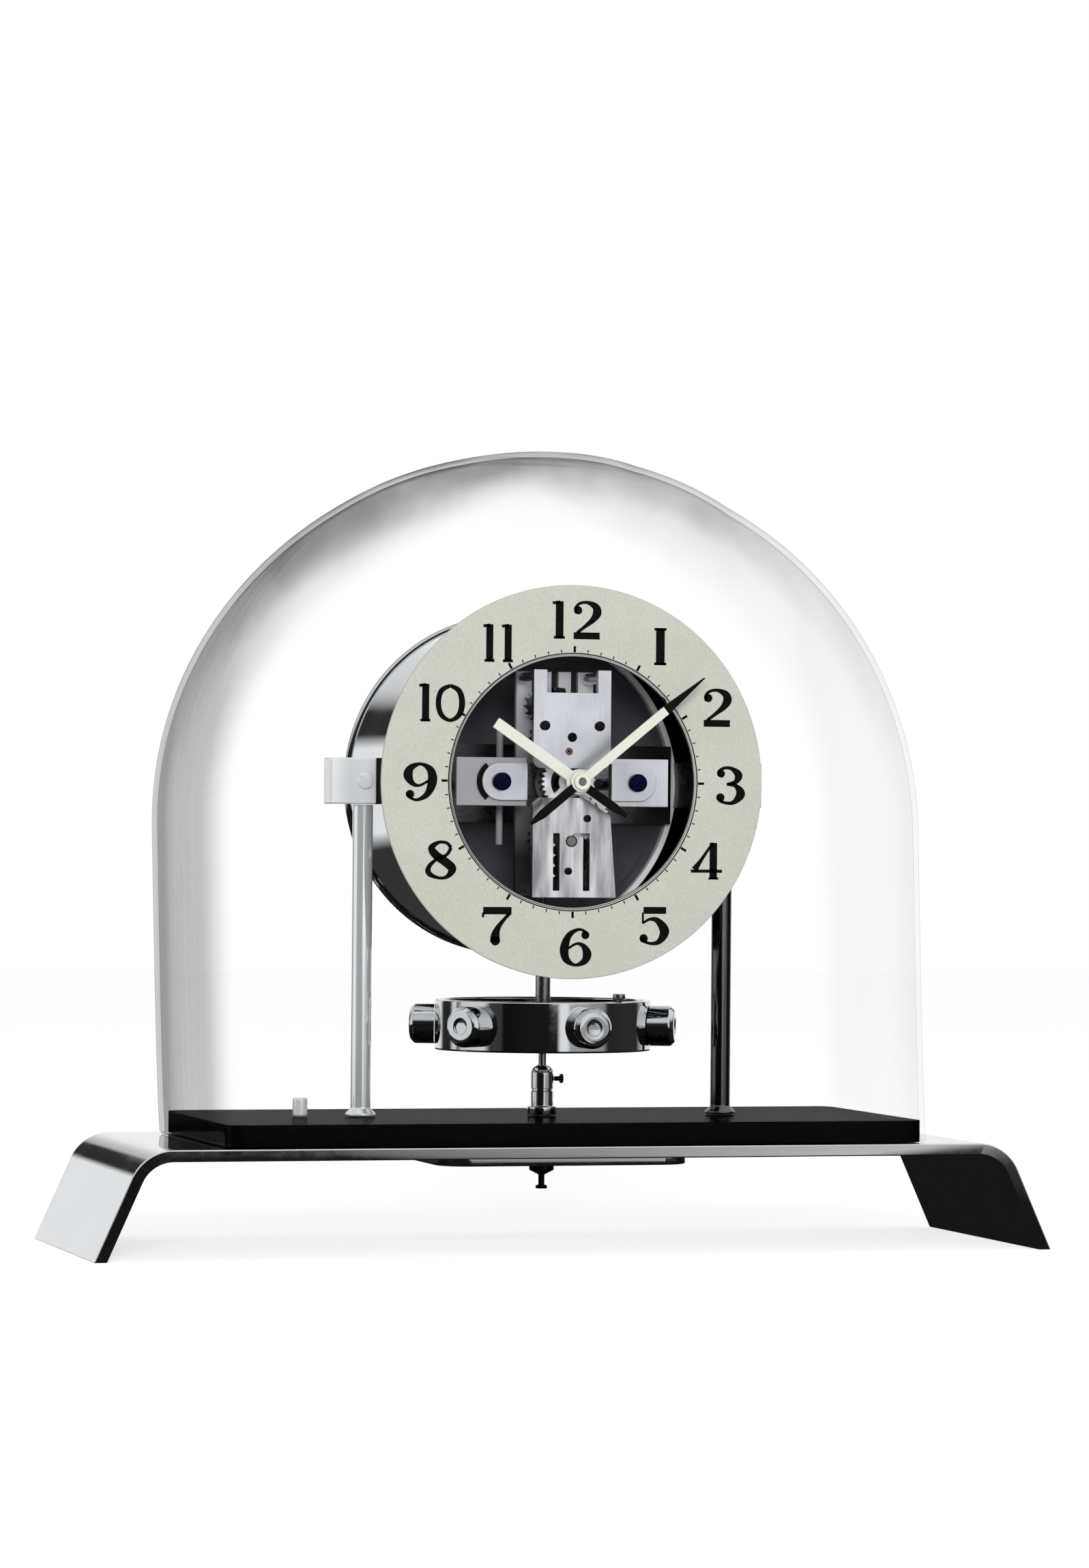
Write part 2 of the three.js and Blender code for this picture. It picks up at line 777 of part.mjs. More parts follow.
function upperBridge() {
  const round = 2.2;
  const outline = polygon([
    [-bridgeHalfWidth, upperBridgeBottom + round],
    [-bridgeHalfWidth + round, upperBridgeBottom],
    [bridgeHalfWidth - round, upperBridgeBottom],
    [bridgeHalfWidth, upperBridgeBottom + round],
    [bridgeHalfWidth, upperBridgeTop],
    [notchHalfWidth, upperBridgeTop],
    [notchHalfWidth, notchBottom],
    [-notchHalfWidth, notchBottom],
    [-notchHalfWidth, upperBridgeTop],
    [-bridgeHalfWidth, upperBridgeTop],
  ]);
  const jewel = rodAlongY(arborRadius + running, bridgeFront - 1, bridgeBack + 1);
  const plate = plateFacingFront(outline, bridgeFront, bridgeBack);
  const head = upperBridgeTop - framePillarInset;
  const pillars = [-1, 1].map((side) => {
    const post = rodAlongY(framePillarRadius, bridgeBack - 0.5, rearPlateFront - seat);
    return post.translate([side * (bridgeHalfWidth - framePillarInset), 0, head]);
  });
  return raised(join(cut(plate, jewel.translate([0, 0, thirdRise])), ...pillars));
}

// Lower bridge: a sloping head below the hands, and three legs parted by two slots.
function lowerBridge() {
  const outline = polygon([
    [-bridgeHalfWidth, lowerBridgeTop - 1.2],
    [-bridgeHalfWidth + 1.6, lowerBridgeTop],
    [3.2, lowerBridgeTop],
    [bridgeHalfWidth, lowerBridgeTop - lowerBridgeSlope],
    [bridgeHalfWidth + lowerBridgeSplay, lowerBridgeBottom],
    [-bridgeHalfWidth, lowerBridgeBottom],
  ]);
  const slots = [-1, 1].map((side) => box(slotOuter - slotInner, 3 * bridgeThickness,
    slotTop - slotBottom, side * (slotInner + slotOuter) / 2, bridgeFront, (slotTop + slotBottom) / 2));
  const jewel = rodAlongY(barrelArborRadius + running, bridgeFront - 1, bridgeBack + 1);
  const plate = plateFacingFront(outline, bridgeFront, bridgeBack);
  const foot = lowerBridgeBottom + framePillarInset;
  const pillars = [-1, 1].map((side) => {
    const post = rodAlongY(framePillarRadius, bridgeBack - 0.5, rearPlateFront - seat);
    return post.translate([side * (bridgeHalfWidth - framePillarInset), 0, foot]);
  });
  return raised(join(cut(plate, ...slots, jewel.translate([0, 0, -barrelDrop])), ...pillars));
}

// Rear plate with a slotted comb along its top edge and bearings for every arbor.
function rearPlate() {
  const outline = polygon([
    [-bridgeHalfWidth, lowerBridgeBottom],
    [bridgeHalfWidth, lowerBridgeBottom],
    [bridgeHalfWidth, upperBridgeTop],
    [-bridgeHalfWidth, upperBridgeTop],
    [-bridgeHalfWidth, 2],
    [-sideRodOffset - sideRodRadius, 2],
    [-sideRodOffset - sideRodRadius, -2],
    [-bridgeHalfWidth, -2],
  ]);
  const middle = (rearPlateFront + rearPlateBack) / 2;
  const comb = [-1, 0, 1].map((step) => box(combSlotWidth, 3 * rearPlateThickness, 2 * combSlotDepth,
    combSlotPitch * step, middle, upperBridgeTop));
  const bearing = (radius, x, z) => rodAlongY(radius + running, rearPlateFront - 1,
    rearPlateBack + 1).translate([x, 0, z]);
  const bearings = [
    bearing(barrelArborRadius, 0, -barrelDrop),
    bearing(arborRadius, 0, 0),
    bearing(arborRadius, 0, thirdRise),
    bearing(arborRadius, escapeOffset, escapeRise),
    bearing(arborRadius, anchorX, anchorRise),
  ];
  const plate = plateFacingFront(outline, rearPlateFront, rearPlateBack);
  return raised(cut(plate, ...comb, ...bearings));
}

// Upright rod on the left, in front of the tab of the rear plate.
function sideRod() {
  const rod = rodAlongZ(sideRodRadius, -sideRodHalfLength, sideRodHalfLength);
  return raised(rod.translate([-sideRodOffset, rearPlateFront - seat - sideRodRadius, 0]));
}

function bridgeScrew(side) {
  const head = slottedHead(bridgeScrewRadius, bridgeScrewHead, bridgeFront - seat, 0.15);
  return raised(head.translate([side * (bridgeHalfWidth - bridgeScrewInset), 0, bridgeScrewRise]));
}

function arm(side) {
  const from = side * armInner;
  const to = side * armOuter;
  const half = armHeight / 2;
  const outline = polygon([[from, -half], [to, -half], [to, half], [from, half]]);
  return raised(plateFacingFront(outline, armFront, armBack));
}

// Tongue with a rounded outer end, clamped on an arm by the blued screw.
function armClamp(side) {
  const half = clampHeight / 2;
  const centre = side * (clampOuter - half);
  const outline = new THREE.Shape();
  outline.moveTo(side * armInner, half);
  outline.lineTo(side * armInner, -half);
  outline.absarc(centre, 0, half, -Math.PI / 2, Math.PI / 2, side < 0);
  return raised(plateFacingFront(outline, clampFront, clampFront + clampThickness, 14));
}

function armScrew(side) {
  const head = slottedHead(armScrewRadius, armScrewHead, clampFront - seat);
  return raised(head.translate([side * armScrewOffset, 0, 0]));
}

function armPost(side) {
  const post = rodAlongY(armPostRadius, armBack + seat, rearBarFront - seat);
  return raised(post.translate([side * armScrewOffset, 0, 0]));
}

// Gear train, from the barrel up to the anchor

const centrePhase = Math.PI / 2;
const thirdArc = Math.PI / thirdPinionTeeth;
const anchorX = escapeOffset + anchorDistance;
const anchorRise = escapeRise;

function barrel() {
  const phase = Math.PI / 2 + Math.PI / barrelTeeth;
  const front = barrelLayer - barrelDepth / 2;
  const back = barrelLayer + barrelDepth / 2;
  const drum = rodAlongY(pitchRadius(barrelTeeth, trainModule) - 1, front, back, largeRound / 2);
  const teeth = pinion(barrelTeeth, trainModule, barrelLayer, wheelThickness, phase);
  const arbor = rodAlongY(barrelArborRadius, bridgeFront, rearPlateBack);
  return raised(join(drum, teeth, arbor).translate([0, 0, -barrelDrop]));
}

// Arbor in the middle: the cannon pinion and the centre pinion and wheel turn with the minute hand.
function centreArbor() {
  const wheel = toothedWheel(centreWheelTeeth, trainModule, centreLayer, centrePhase);
  const leaf = pinion(centrePinionTeeth, trainModule, barrelLayer, pinionLength, -Math.PI / 2);
  const hub = rodAlongY(wheelHubRadius, barrelLayer, centreLayer + wheelThickness);
  const arbor = rodAlongY(arborRadius, minuteHandFront - 1.2, rearPlateBack);
  return raised(join(wheel, leaf, hub, arbor));
}

function cannonPinion() {
  const bore = arborRadius + seat;
  const front = minuteHandFront + handThickness + seat;
  const back = minuteLayer + pinionLength / 2;
  const pipe = turnedAboutY(tubeProfile(bore, cannonRadius, front, back));
  const leaf = pinion(cannonTeeth, drivingModule, minuteLayer, pinionLength, motionBearing);
  return raised(join(cut(leaf, rodAlongY(bore, front, back + 1)), pipe));
}

function thirdArbor() {
  const leaf = pinion(thirdPinionTeeth, trainModule, centreLayer, pinionLength, thirdArc - Math.PI / 2);
  const wheel = toothedWheel(thirdWheelTeeth, trainModule, thirdLayer, escapeBearing);
  const arbor = rodAlongY(arborRadius, bridgeFront, rearPlateBack);
  const hub = rodAlongY(wheelHubRadius, centreLayer, thirdLayer + wheelThickness);
  return raised(join(wheel, leaf, arbor, hub).translate([0, 0, thirdRise]));
}

// Escape wheel with pointed teeth that all lean one way.
function escapeWheel() {
  const corners = [];
  const pitchAngle = 2 * Math.PI / escapeTeeth;
  for (let tooth = 0; tooth < escapeTeeth; tooth += 1) {
    const start = tooth * pitchAngle + pitchAngle / 2;
    corners.push(polar(escapeRadius, start));
    corners.push(polar(escapeRadius, start + 0.12 * pitchAngle));
    corners.push(polar(escapeRadius - escapeToothDepth, start + 0.75 * pitchAngle));
  }
  const layer = centreLayer;
  const rim = plateFacingFront(polygon(corners), layer - anchorThickness / 2, layer + anchorThickness / 2);
  const back = escapeBearing + Math.PI;
  const leaf = pinion(escapePinionTeeth, trainModule, thirdLayer, pinionLength,
    back + Math.PI / escapePinionTeeth);
  const arbor = rodAlongY(arborRadius, bridgeBack + seat, rearPlateBack);
  return raised(join(rim, leaf, arbor).translate([escapeOffset, 0, escapeRise]));
}

// Anchor: a boss, two arms whose pallets stand just outside the escape wheel, and a crutch pin.
function anchor() {
  const front = centreLayer - anchorThickness / 2;
  const back = centreLayer + anchorThickness / 2;
  const boss = rodAlongY(arborRadius + 0.6, front, back).translate([anchorDistance, 0, 0]);
  const staff = rodAlongY(arborRadius, bridgeBack + seat, rearPlateBack + crutchLength);
  const arms = [-1, 1].map((side) => {
    const angle = side * degrees(anchorSpan);
    const reach = escapeRadius + palletGap;
    const [tipX, tipZ] = polar(reach, angle);
    const [farX, farZ] = polar(reach + anchorArmWidth, angle);
    const crook = polar(reach + 2.4, angle * 0.72);
    const heel = side * (arborRadius + 0.3);
    return plateFacingFront(polygon([
      [tipX, tipZ],
      [farX, farZ],
      [crook[0], crook[1]],
      [anchorDistance + 0.4, heel],
      [anchorDistance - 0.5, heel * 0.6],
      polar(reach + 0.5, angle * 0.62),
    ]), front, back);
  });
  const whole = join(boss, ...arms, staff.translate([anchorDistance, 0, 0]));
  return raised(whole.translate([escapeOffset, 0, escapeRise]));
}

// Motion work

function minuteWheel() {
  const [x, z] = polar(motionDistance, motionBearing);
  const back = motionBearing + Math.PI;
  const wheel = toothedWheel(minuteWheelTeeth, drivingModule, minuteLayer,
    back + Math.PI / minuteWheelTeeth);
  const leaf = pinion(minutePinionTeeth, hourModule, hourLayer, 2 * wheelThickness,
    back + Math.PI / minutePinionTeeth);
  const stud = rodAlongY(studRadius, bridgeBack + seat, minuteLayer + pinionLength / 2);
  return raised(join(wheel, leaf, stud).translate([x, 0, z]));
}

function hourWheel() {
  const front = hourHandFront + handThickness + seat;
  const back = hourLayer + wheelThickness / 2;
  const pipe = turnedAboutY(tubeProfile(hourPipeBore, hourPipeRadius, front, back));
  const bore = rodAlongY(hourPipeBore, front - 1, back + 1);
  const wheel = toothedWheel(hourWheelTeeth, hourModule, hourLayer, motionBearing);
  return raised(join(cut(wheel, bore), pipe));
}

// Hands, drawn pointing at twelve and turned to the time shown

function turnedToTime(piece, angle) {
  return raised(piece.rotate([0, angle, 0]));
}

function taperedBar(fromWidth, toWidth, from, to) {
  return polygon([
    [-fromWidth / 2, from],
    [fromWidth / 2, from],
    [toWidth / 2, to],
    [-toWidth / 2, to],
  ]);
}

function minuteHand() {
  const back = minuteHandFront + handThickness;
  const hub = rodAlongY(handHubRadius, minuteHandFront, back);
  const bars = [
    taperedBar(minuteHandWidth, minuteHandWidth, 0, minuteBatonLength),
    taperedBar(minuteTipWidth, handPointWidth, minuteBatonLength - 0.5, minuteHandLength),
    taperedBar(handPointWidth, handTailWidth, -minuteTailLength, -minuteTailLength / 3),
    taperedBar(handTailWidth, handTailWidth, -minuteTailLength / 3, 0),
  ].map((bar) => plateFacingFront(bar, minuteHandFront, back));
  const bore = rodAlongY(arborRadius + seat, minuteHandFront - 1, back + 1);
  return turnedToTime(cut(join(hub, ...bars), bore), minuteHandAngle);
}

function hourHand() {
  const back = hourHandFront + handThickness;
  const hub = rodAlongY(handHubRadius + 0.6, hourHandFront, back);
  const bars = [
    taperedBar(hourHandWidth, hourHandWidth, 0, hourHandLength - hourHandWidth / 2),
    taperedBar(hourHandWidth, handPointWidth, hourHandLength - hourHandWidth / 2, hourHandLength),
    taperedBar(handPointWidth, handTailWidth, -hourTailLength, -hourTailLength / 3),
    taperedBar(handTailWidth, handTailWidth, -hourTailLength / 3, 0),
  ].map((bar) => plateFacingFront(bar, hourHandFront, back));
  const bore = rodAlongY(cannonRadius + running, hourHandFront - 1, back + 1);
  return turnedToTime(cut(join(hub, ...bars), bore), hourHandAngle);
}

function handNut() {
  const back = minuteHandFront - seat;
  const front = back - nutThickness;
  const ring = tubeProfile(arborRadius + seat, nutRadius, front, back);
  return raised(turnedAboutY(ring));
}

// Suspension and balance

// Fluted collar at the head of the torsion wire, turned to set the beat.
function beatCollar() {
  const body = rodAlongZ(collarRadius, collarBottom, collarBottom + collarHeight, 2 * collarFlutes);
  const flutes = [];
  for (let flute = 0; flute < collarFlutes; flute += 1) {
    const [x, y] = polar(collarRadius + collarFluteRadius / 3, 2 * Math.PI * flute / collarFlutes);
    const groove = rodAlongZ(collarFluteRadius, collarBottom - 1, collarBottom + collarHeight + 1, 8);
    flutes.push(groove.translate([x, y, 0]));
  }
  return raised(cut(body, ...flutes));
}

// Shelf behind the rear plate that carries the collar; the wire hangs down through its bore.
function suspensionBracket() {
  const top = collarBottom - seat;
  const bottom = top - bracketThickness;
  const back = collarRadius;
  const front = rearPlateBack + seat;
  const shelf = box(bracketWidth, back - front, bracketThickness, 0, (front + back) / 2,
    (top + bottom) / 2);
  const flange = box(bracketWidth, bracketThickness, 3 * bracketThickness, 0,
    front + bracketThickness / 2, bottom - bracketThickness / 2);
  const bore = rodAlongZ(wireRadius + running, bottom - 1, top + 1);
  return raised(cut(join(shelf, flange), bore));
}

function torsionWire() {
  const bottom = balanceCentreHeight + stemTop + seat;
  const top = drumCentreHeight + collarBottom - seat;
  return rodAlongZ(wireRadius, bottom, top);
}

function balanceRing() {
  const half = ringHeight / 2;
  const round = 0.5;
  const profile = [
    [ringInnerRadius, -half],
    [ringRadius - round, -half],
    [ringRadius, round - half],
    [ringRadius, half - round],
    [ringRadius - round, half],
    [ringInnerRadius, half],
    [ringInnerRadius, -half],
  ];
  return turnedAboutZ(profile, largeRound).translate([0, 0, balanceCentreHeight]);
}

function balanceSpokes() {
  const half = balanceHubHeight / 2;
  const hub = rodAlongZ(balanceHubRadius, -half, half);
  const reach = ringInnerRadius - seat;
  const spokes = [];
  for (let spoke = 0; spoke < spokeCount; spoke += 1) {
    const bearing = 360 * spoke / spokeCount + 90;
    const bar = box(reach, balanceSpokeWidth, balanceSpokeThickness, reach / 2, 0, 0);
    spokes.push(bar.rotate([0, 0, bearing]));
  }
  const rim = rodAlongZ(reach, -half, half, largeRound);
  const bore = rodAlongZ(stemRadius + seat, -half - 1, half + 1);
  return cut(join(hub, ...spokes).intersect(rim), bore).translate([0, 0, balanceCentreHeight]);
}

// Round weight whose inner end is hollowed to sit on the outside of the ring.
function balanceWeight(index) {
  const bearing = weightBearing + 360 * index / weightCount;
  const inner = ringRadius - 2;
  const profile = [
    [0, inner],
    [weightRadius, inner],
    [weightRadius, weightReach - weightRound],
    [weightRadius - 0.3 * weightRound, weightReach - 0.3 * weightRound],
    [weightRadius - weightRound, weightReach],
    [0, weightReach],
  ];
  const body = turnedAboutX(profile);
  const ringSpace = rodAlongZ(ringRadius + seat, -ringHeight, ringHeight, largeRound);
  return cut(body, ringSpace).rotate([0, 0, bearing]).translate([0, 0, balanceCentreHeight]);
}

function balanceStem() {
  const half = balanceHubHeight / 2;
  const profile = [
    [0, pivotBottom],
    [pivotRadius, pivotBottom],
    [pivotRadius, -half - 1],
    [stemRadius, -half],
    [stemRadius, stemTop],
    [0, stemTop],
  ];
  return turnedAboutZ(profile).translate([0, 0, balanceCentreHeight]);
}

// Dome

// Plan of the dome at one height, as points around a rounded rectangle.
function domeSection(halfLength, halfDepth, corner, height, cornerSteps) {
  const radius = Math.min(corner, halfLength, halfDepth);
  const shift = -domeLean * (height - domeBottom) / (domeTop - domeBottom);
  const points = [];
  for (let quarter = 0; quarter < 4; quarter += 1) {
    const signX = quarter === 0 || quarter === 3 ? 1 : -1;
    const signY = quarter < 2 ? 1 : -1;
    for (let step = 0; step <= cornerSteps; step += 1) {
      const angle = (quarter + step / cornerSteps) * Math.PI / 2;
      points.push(new THREE.Vector3(
        shift + signX * (halfLength - radius) + radius * Math.cos(angle),
        signY * (halfDepth - radius) + radius * Math.sin(angle),
        height,
      ));
    }
  }
  return points;
}

// Sections from the foot to the crown of a dome that stands inset within the outer one.
function domeSections(inset, foot) {
  const halfLength = domeHalfLength - inset;
  const halfDepth = domeHalfDepth - inset;
  const corner = Math.max(domeCornerRadius - inset, 1);
  const arch = domeTop - inset - domeSpring;
  const bends = [0, 14, 28, 42, 54, 64, 72, 79, 84.5, 88.3];
  const sections = [domeSection(halfLength, halfDepth, corner, foot, 5)];
  for (const bend of bends) {
    const angle = degrees(bend);
    const length = halfLength * Math.cos(angle) ** 0.96;
    const depth = halfDepth * Math.cos(angle) ** 0.13;
    const round = corner + (domeCrownCorner - corner) * Math.sin(angle) ** 2;
    const height = domeSpring + arch * Math.sin(angle) ** 1.05;
    sections.push(domeSection(length, depth, round, height, 5));
  }
  return sections;
}

// A closed skin over a stack of sections with equal numbers of points.
function loft(sections) {
  const count = sections[0].length;
  const first = sections[0];
  const last = sections[sections.length - 1];
  const middleOf = (ring) => ring.reduce((sum, point) => sum.add(point), new THREE.Vector3())
    .divideScalar(count);
  const corners = sections.flat();
  corners.push(middleOf(first), middleOf(last));
  const bottomMiddle = corners.length - 2;
  const topMiddle = corners.length - 1;
  const topStart = count * (sections.length - 1);
  const faces = [];
  for (let step = 0; step < count; step += 1) {
    const next = (step + 1) % count;
    for (let level = 0; level < sections.length - 1; level += 1) {
      const low = level * count;
      const high = low + count;
      faces.push(low + step, low + next, high + next);
      faces.push(low + step, high + next, high + step);
    }
    faces.push(bottomMiddle, next, step);
    faces.push(topMiddle, topStart + step, topStart + next);
  }
  const geometry = new THREE.BufferGeometry().setFromPoints(corners);
  geometry.setIndex(faces);
  return solid(geometry);
}

function glassDome() {
  const outside = loft(domeSections(0, domeBottom));
  const inside = loft(domeSections(domeWall, domeBottom - 1));
  return cut(outside, inside);
}

// Assembly

const clock = new THREE.Group();

function place(name, piece, material) {
  const mesh = new THREE.Mesh(geometryOf(piece), material);
  mesh.name = name;
  clock.add(mesh);
}

place('base_strip', baseStrip(), chrome);
place('plinth', plinth(), blackGloss);
place('plinth_stud', plinthStud(), chrome);
place('under_plate', underPlate(), chrome);
place('lock_screw', lockScrew(), darkSteel);
place('lock_post', lockPost(), steel);
place('lock_pin', lockPin(), darkSteel);

for (const [side, word] of [[-1, 'left'], [1, 'right']]) {
  place(`pillar_${word}`, pillar(side), chrome);
  place(`pillar_block_${word}`, pillarBlock(side), chrome);
  place(`block_screw_${word}`, blockScrew(side), steel);
  place(`bracket_pad_${word}`, bracketPad(side), rubber);
  place(`bridge_screw_${word}`, bridgeScrew(side), darkSteel);
  place(`arm_${word}`, arm(side), nickel);
  place(`arm_clamp_${word}`, armClamp(side), nickel);
  place(`arm_screw_${word}`, armScrew(side), bluedSteel);
  place(`arm_post_${word}`, armPost(side), steel);
}

place('drum_shell', drumShell(), chrome);
place('drum_back_cover', drumBackCover(), chrome);
place('dial_ring', dialRing(), dialSilver);
place('carrier_ring', carrierRing(), chrome);
place('bellows_capsule', bellowsCapsule(), capsuleGrey);
place('capsule_plunger', capsulePlunger(), steel);
place('rear_bar', rearBar(), steel);
place('upper_bridge', upperBridge(), nickel);
place('lower_bridge', lowerBridge(), nickel);
place('rear_plate', rearPlate(), nickel);
place('side_rod', sideRod(), steel);

place('barrel', barrel(), steel);
place('centre_arbor', centreArbor(), steel);
place('cannon_pinion', cannonPinion(), steel);
place('third_arbor', thirdArbor(), steel);
place('escape_wheel', escapeWheel(), steel);
place('anchor', anchor(), darkSteel);
place('minute_wheel', minuteWheel(), steel);
place('hour_wheel', hourWheel(), steel);

place('minute_hand', minuteHand(), handBlack);
place('hour_hand', hourHand(), handBlack);
place('hand_nut', handNut(), handCream);

place('beat_collar', beatCollar(), darkSteel);
place('suspension_bracket', suspensionBracket(), steel);
place('torsion_wire', torsionWire(), steel);
place('balance_ring', balanceRing(), chrome);
place('balance_spokes', balanceSpokes(), steel);
place('balance_stem', balanceStem(), steel);
for (let index = 0; index < weightCount; index += 1) {
  place(`balance_weight_${index + 1}`, balanceWeight(index), chrome);
}

place('glass_dome', glassDome(), glass);

export default clock;
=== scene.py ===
"""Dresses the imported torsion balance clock: fine shapes, finishes, studio light and camera.

Sizes are in millimetres in the clock's own frame (+X right, +Y back, +Z up, feet at zero) and
become metres when a piece is made.
"""

import logging
import math
from dataclasses import dataclass, field
from enum import Enum

import bmesh
import bpy
from mathutils import Matrix, Vector


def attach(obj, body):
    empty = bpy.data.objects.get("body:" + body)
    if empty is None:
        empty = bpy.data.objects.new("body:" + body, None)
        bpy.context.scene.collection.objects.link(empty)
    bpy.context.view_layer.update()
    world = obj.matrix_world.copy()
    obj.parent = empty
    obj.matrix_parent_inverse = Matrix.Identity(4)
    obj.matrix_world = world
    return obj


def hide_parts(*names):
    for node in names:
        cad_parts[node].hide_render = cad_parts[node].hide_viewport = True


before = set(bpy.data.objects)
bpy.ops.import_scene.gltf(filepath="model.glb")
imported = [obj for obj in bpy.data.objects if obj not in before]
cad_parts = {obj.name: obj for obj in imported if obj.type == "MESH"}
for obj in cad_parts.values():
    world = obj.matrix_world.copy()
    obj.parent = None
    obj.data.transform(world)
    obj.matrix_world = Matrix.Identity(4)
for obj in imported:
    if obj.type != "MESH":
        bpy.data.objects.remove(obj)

MM = 0.001  # metres in a millimetre
SHARP_ANGLE = 33.0  # degrees between faces, above which an edge stays crisp
STRAIGHT_ANGLE = 155.0  # degrees in a profile's corner, above which it isn't rounded
ROUNDING_SHARE = 0.45  # share of a profile's side that one rounding may take
TINY = 1e-6  # millimetres, below which two points count as one
WELD = 1e-4  # millimetres, within which corners are joined before their edges are rounded
NO_LENGTH = 2e-8  # metres, below which an edge counts as a point
QUARTERS = ((1, 1), (-1, 1), (-1, -1), (1, -1))  # signs of four corners, in turn
DIAL_CENTRE = 119.2  # height of the dial's middle
DIAL_TURN = {"axis": (0.0, 1.0, 0.0), "centre": (0.0, 0.0, DIAL_CENTRE * MM)}  # copies around it
WHITE = (1.0, 1.0, 1.0, 1.0)
Point = tuple[float, float, float]
Colour = tuple[float, float, float, float]
Pair = tuple[float, float]
Stops = tuple[Pair, ...]
Profile = list[Pair]
Outline = list[Pair]
Faces = list[tuple[int, ...]]
Socket = bpy.types.NodeSocket
Object = bpy.types.Object
Mesh = bpy.types.Mesh
log = logging.getLogger("clock")


class Axis(Enum):
    """Direction that a round or flat piece is built along."""

    X = "X"
    Y = "Y"
    Z = "Z"

    def point(self, across: float, up: float, along: float) -> Vector:
        """Place of a point given across, up and along this axis."""
        return {
            Axis.X: Vector((along, across, up)),
            Axis.Y: Vector((across, along, up)),
            Axis.Z: Vector((across, up, along)),
        }[self]

    def direction(self) -> Vector:
        """Unit vector of this axis."""
        return self.point(0.0, 0.0, 1.0)


class Side(Enum):
    """Left or right of the clock, as the dial is read."""

    LEFT = -1
    RIGHT = 1

    def word(self) -> str:
        """The side's name in a piece's name."""
        return self.name.lower()


# Meshes in the making


@dataclass
class Solid:
    """A closed mesh in millimetres that isn't yet a Blender object."""

    corners: list[Vector]
    faces: Faces

    def outward(self) -> "Solid":
        """Turns the faces so that they point outwards.

        Returns:
            This solid, or one with every face reversed.
        """
        volume = 0.0
        for face in self.faces:
            first = self.corners[face[0]]
            for second, third in zip(face[1:], face[2:]):
                volume += first.dot(self.corners[second].cross(self.corners[third]))
        if volume >= 0:
            return self
        return Solid(self.corners, [tuple(reversed(face)) for face in self.faces])

    def moved(self, x: float = 0.0, y: float = 0.0, z: float = 0.0) -> "Solid":
        """A copy shifted by x, y and z."""
        return Solid([corner + Vector((x, y, z)) for corner in self.corners], self.faces)

    def raised(self) -> "Solid":
        """A copy raised to the height of the dial's middle."""
        return self.moved(z=DIAL_CENTRE)

    def swung(self, axis: Axis, degrees: float) -> "Solid":
        """A copy turned about an axis through the origin."""
        turn = Matrix.Rotation(math.radians(degrees), 3, axis.direction())
        return Solid([turn @ corner for corner in self.corners], self.faces)

    def beside(self, *others: "Solid") -> "Solid":
        """Puts other solids into the same mesh, without joining their surfaces.

        Args:
            others: solids to add.

        Returns:
            One solid that holds them all.
        """
        corners = list(self.corners)
        faces = list(self.faces)
        for other in others:
            start = len(corners)
            corners += other.corners
            faces += [tuple(start + index for index in face) for face in other.faces]
        return Solid(corners, faces)

    def combined(self, operation: str, tools: tuple["Solid", ...]) -> "Solid":
        """Cuts or joins with other solids.

        Args:
            operation: DIFFERENCE, UNION or INTERSECT.
            tools: the other solids.

        Returns:
            The exact result.
        """
        parts = [new_object("shaping", part.mesh("shaping", 1.0)) for part in (self, *tools)]
        for tool in parts[1:]:
            modifier = parts[0].modifiers.new("shaping", "BOOLEAN")
            modifier.operation = operation
            modifier.solver = "EXACT"
            modifier.object = tool
        solid = taken_from(evaluated_mesh(parts[0]))
        for part in parts:
            discard(part)
        return solid

    def less(self, *tools: "Solid") -> "Solid":
        """This solid with the tools cut away."""
        return self.combined("DIFFERENCE", tools)

    def with_piece(self, *tools: "Solid") -> "Solid":
        """This solid joined with others into one skin."""
        return self.combined("UNION", tools)

    def eased(self, width: float, segments: int = 2) -> "Solid":
        """Rounds the crisp edges, as a polishing wheel leaves them.

        Args:
            width: how far the rounding reaches from each edge.
            segments: faces across the rounding.

        Returns:
            The rounded solid.
        """
        work = self.mesh("easing", 1.0)
        shaped = bmesh.new()
        shaped.from_mesh(work)
        bmesh.ops.remove_doubles(shaped, verts=shaped.verts, dist=WELD)
        limit = math.radians(SHARP_ANGLE)
        crisp = [
            edge for edge in shaped.edges if edge.is_manifold and edge.calc_face_angle() > limit
        ]
        bmesh.ops.bevel(
            shaped, geom=crisp, offset=width, segments=segments, profile=0.5, affect="EDGES",
            clamp_overlap=True,
        )
        shaped.to_mesh(work)
        shaped.free()
        return taken_from(work)

    def mesh(self, name: str, scale: float = MM) -> Mesh:
        """Blender mesh of this solid.

        Args:
            name: the mesh's name.
            scale: metres, or other units, to a millimetre.

        Returns:
            The mesh, smooth apart from its crisp edges.
        """
        mesh = bpy.data.meshes.new(name)
        mesh.from_pydata([corner * scale for corner in self.corners], [], self.faces)
        mesh.polygons.foreach_set("use_smooth", [True] * len(mesh.polygons))
        mesh.set_sharp_from_angle(angle=math.radians(SHARP_ANGLE))
        mesh.update()
        return mesh

    def made(self, name: str, finish: "Finish", *stands_for: str, body: str = "frame") -> None:
        """Makes the finished piece, at the origin, and hangs it on its body.

        Args:
            name: the piece's name.
            finish: what its surface is.
            stands_for: the plain nodes that it takes the place of.
            body: the body that it moves with.
        """
        placed(self.mesh(name), name, finish, body, *stands_for)


def new_object(name: str, data: bpy.types.ID) -> Object:
    """Makes an object at the origin and puts it into the scene."""
    made = bpy.data.objects.new(name, data)
    bpy.context.scene.collection.objects.link(made)
    return made


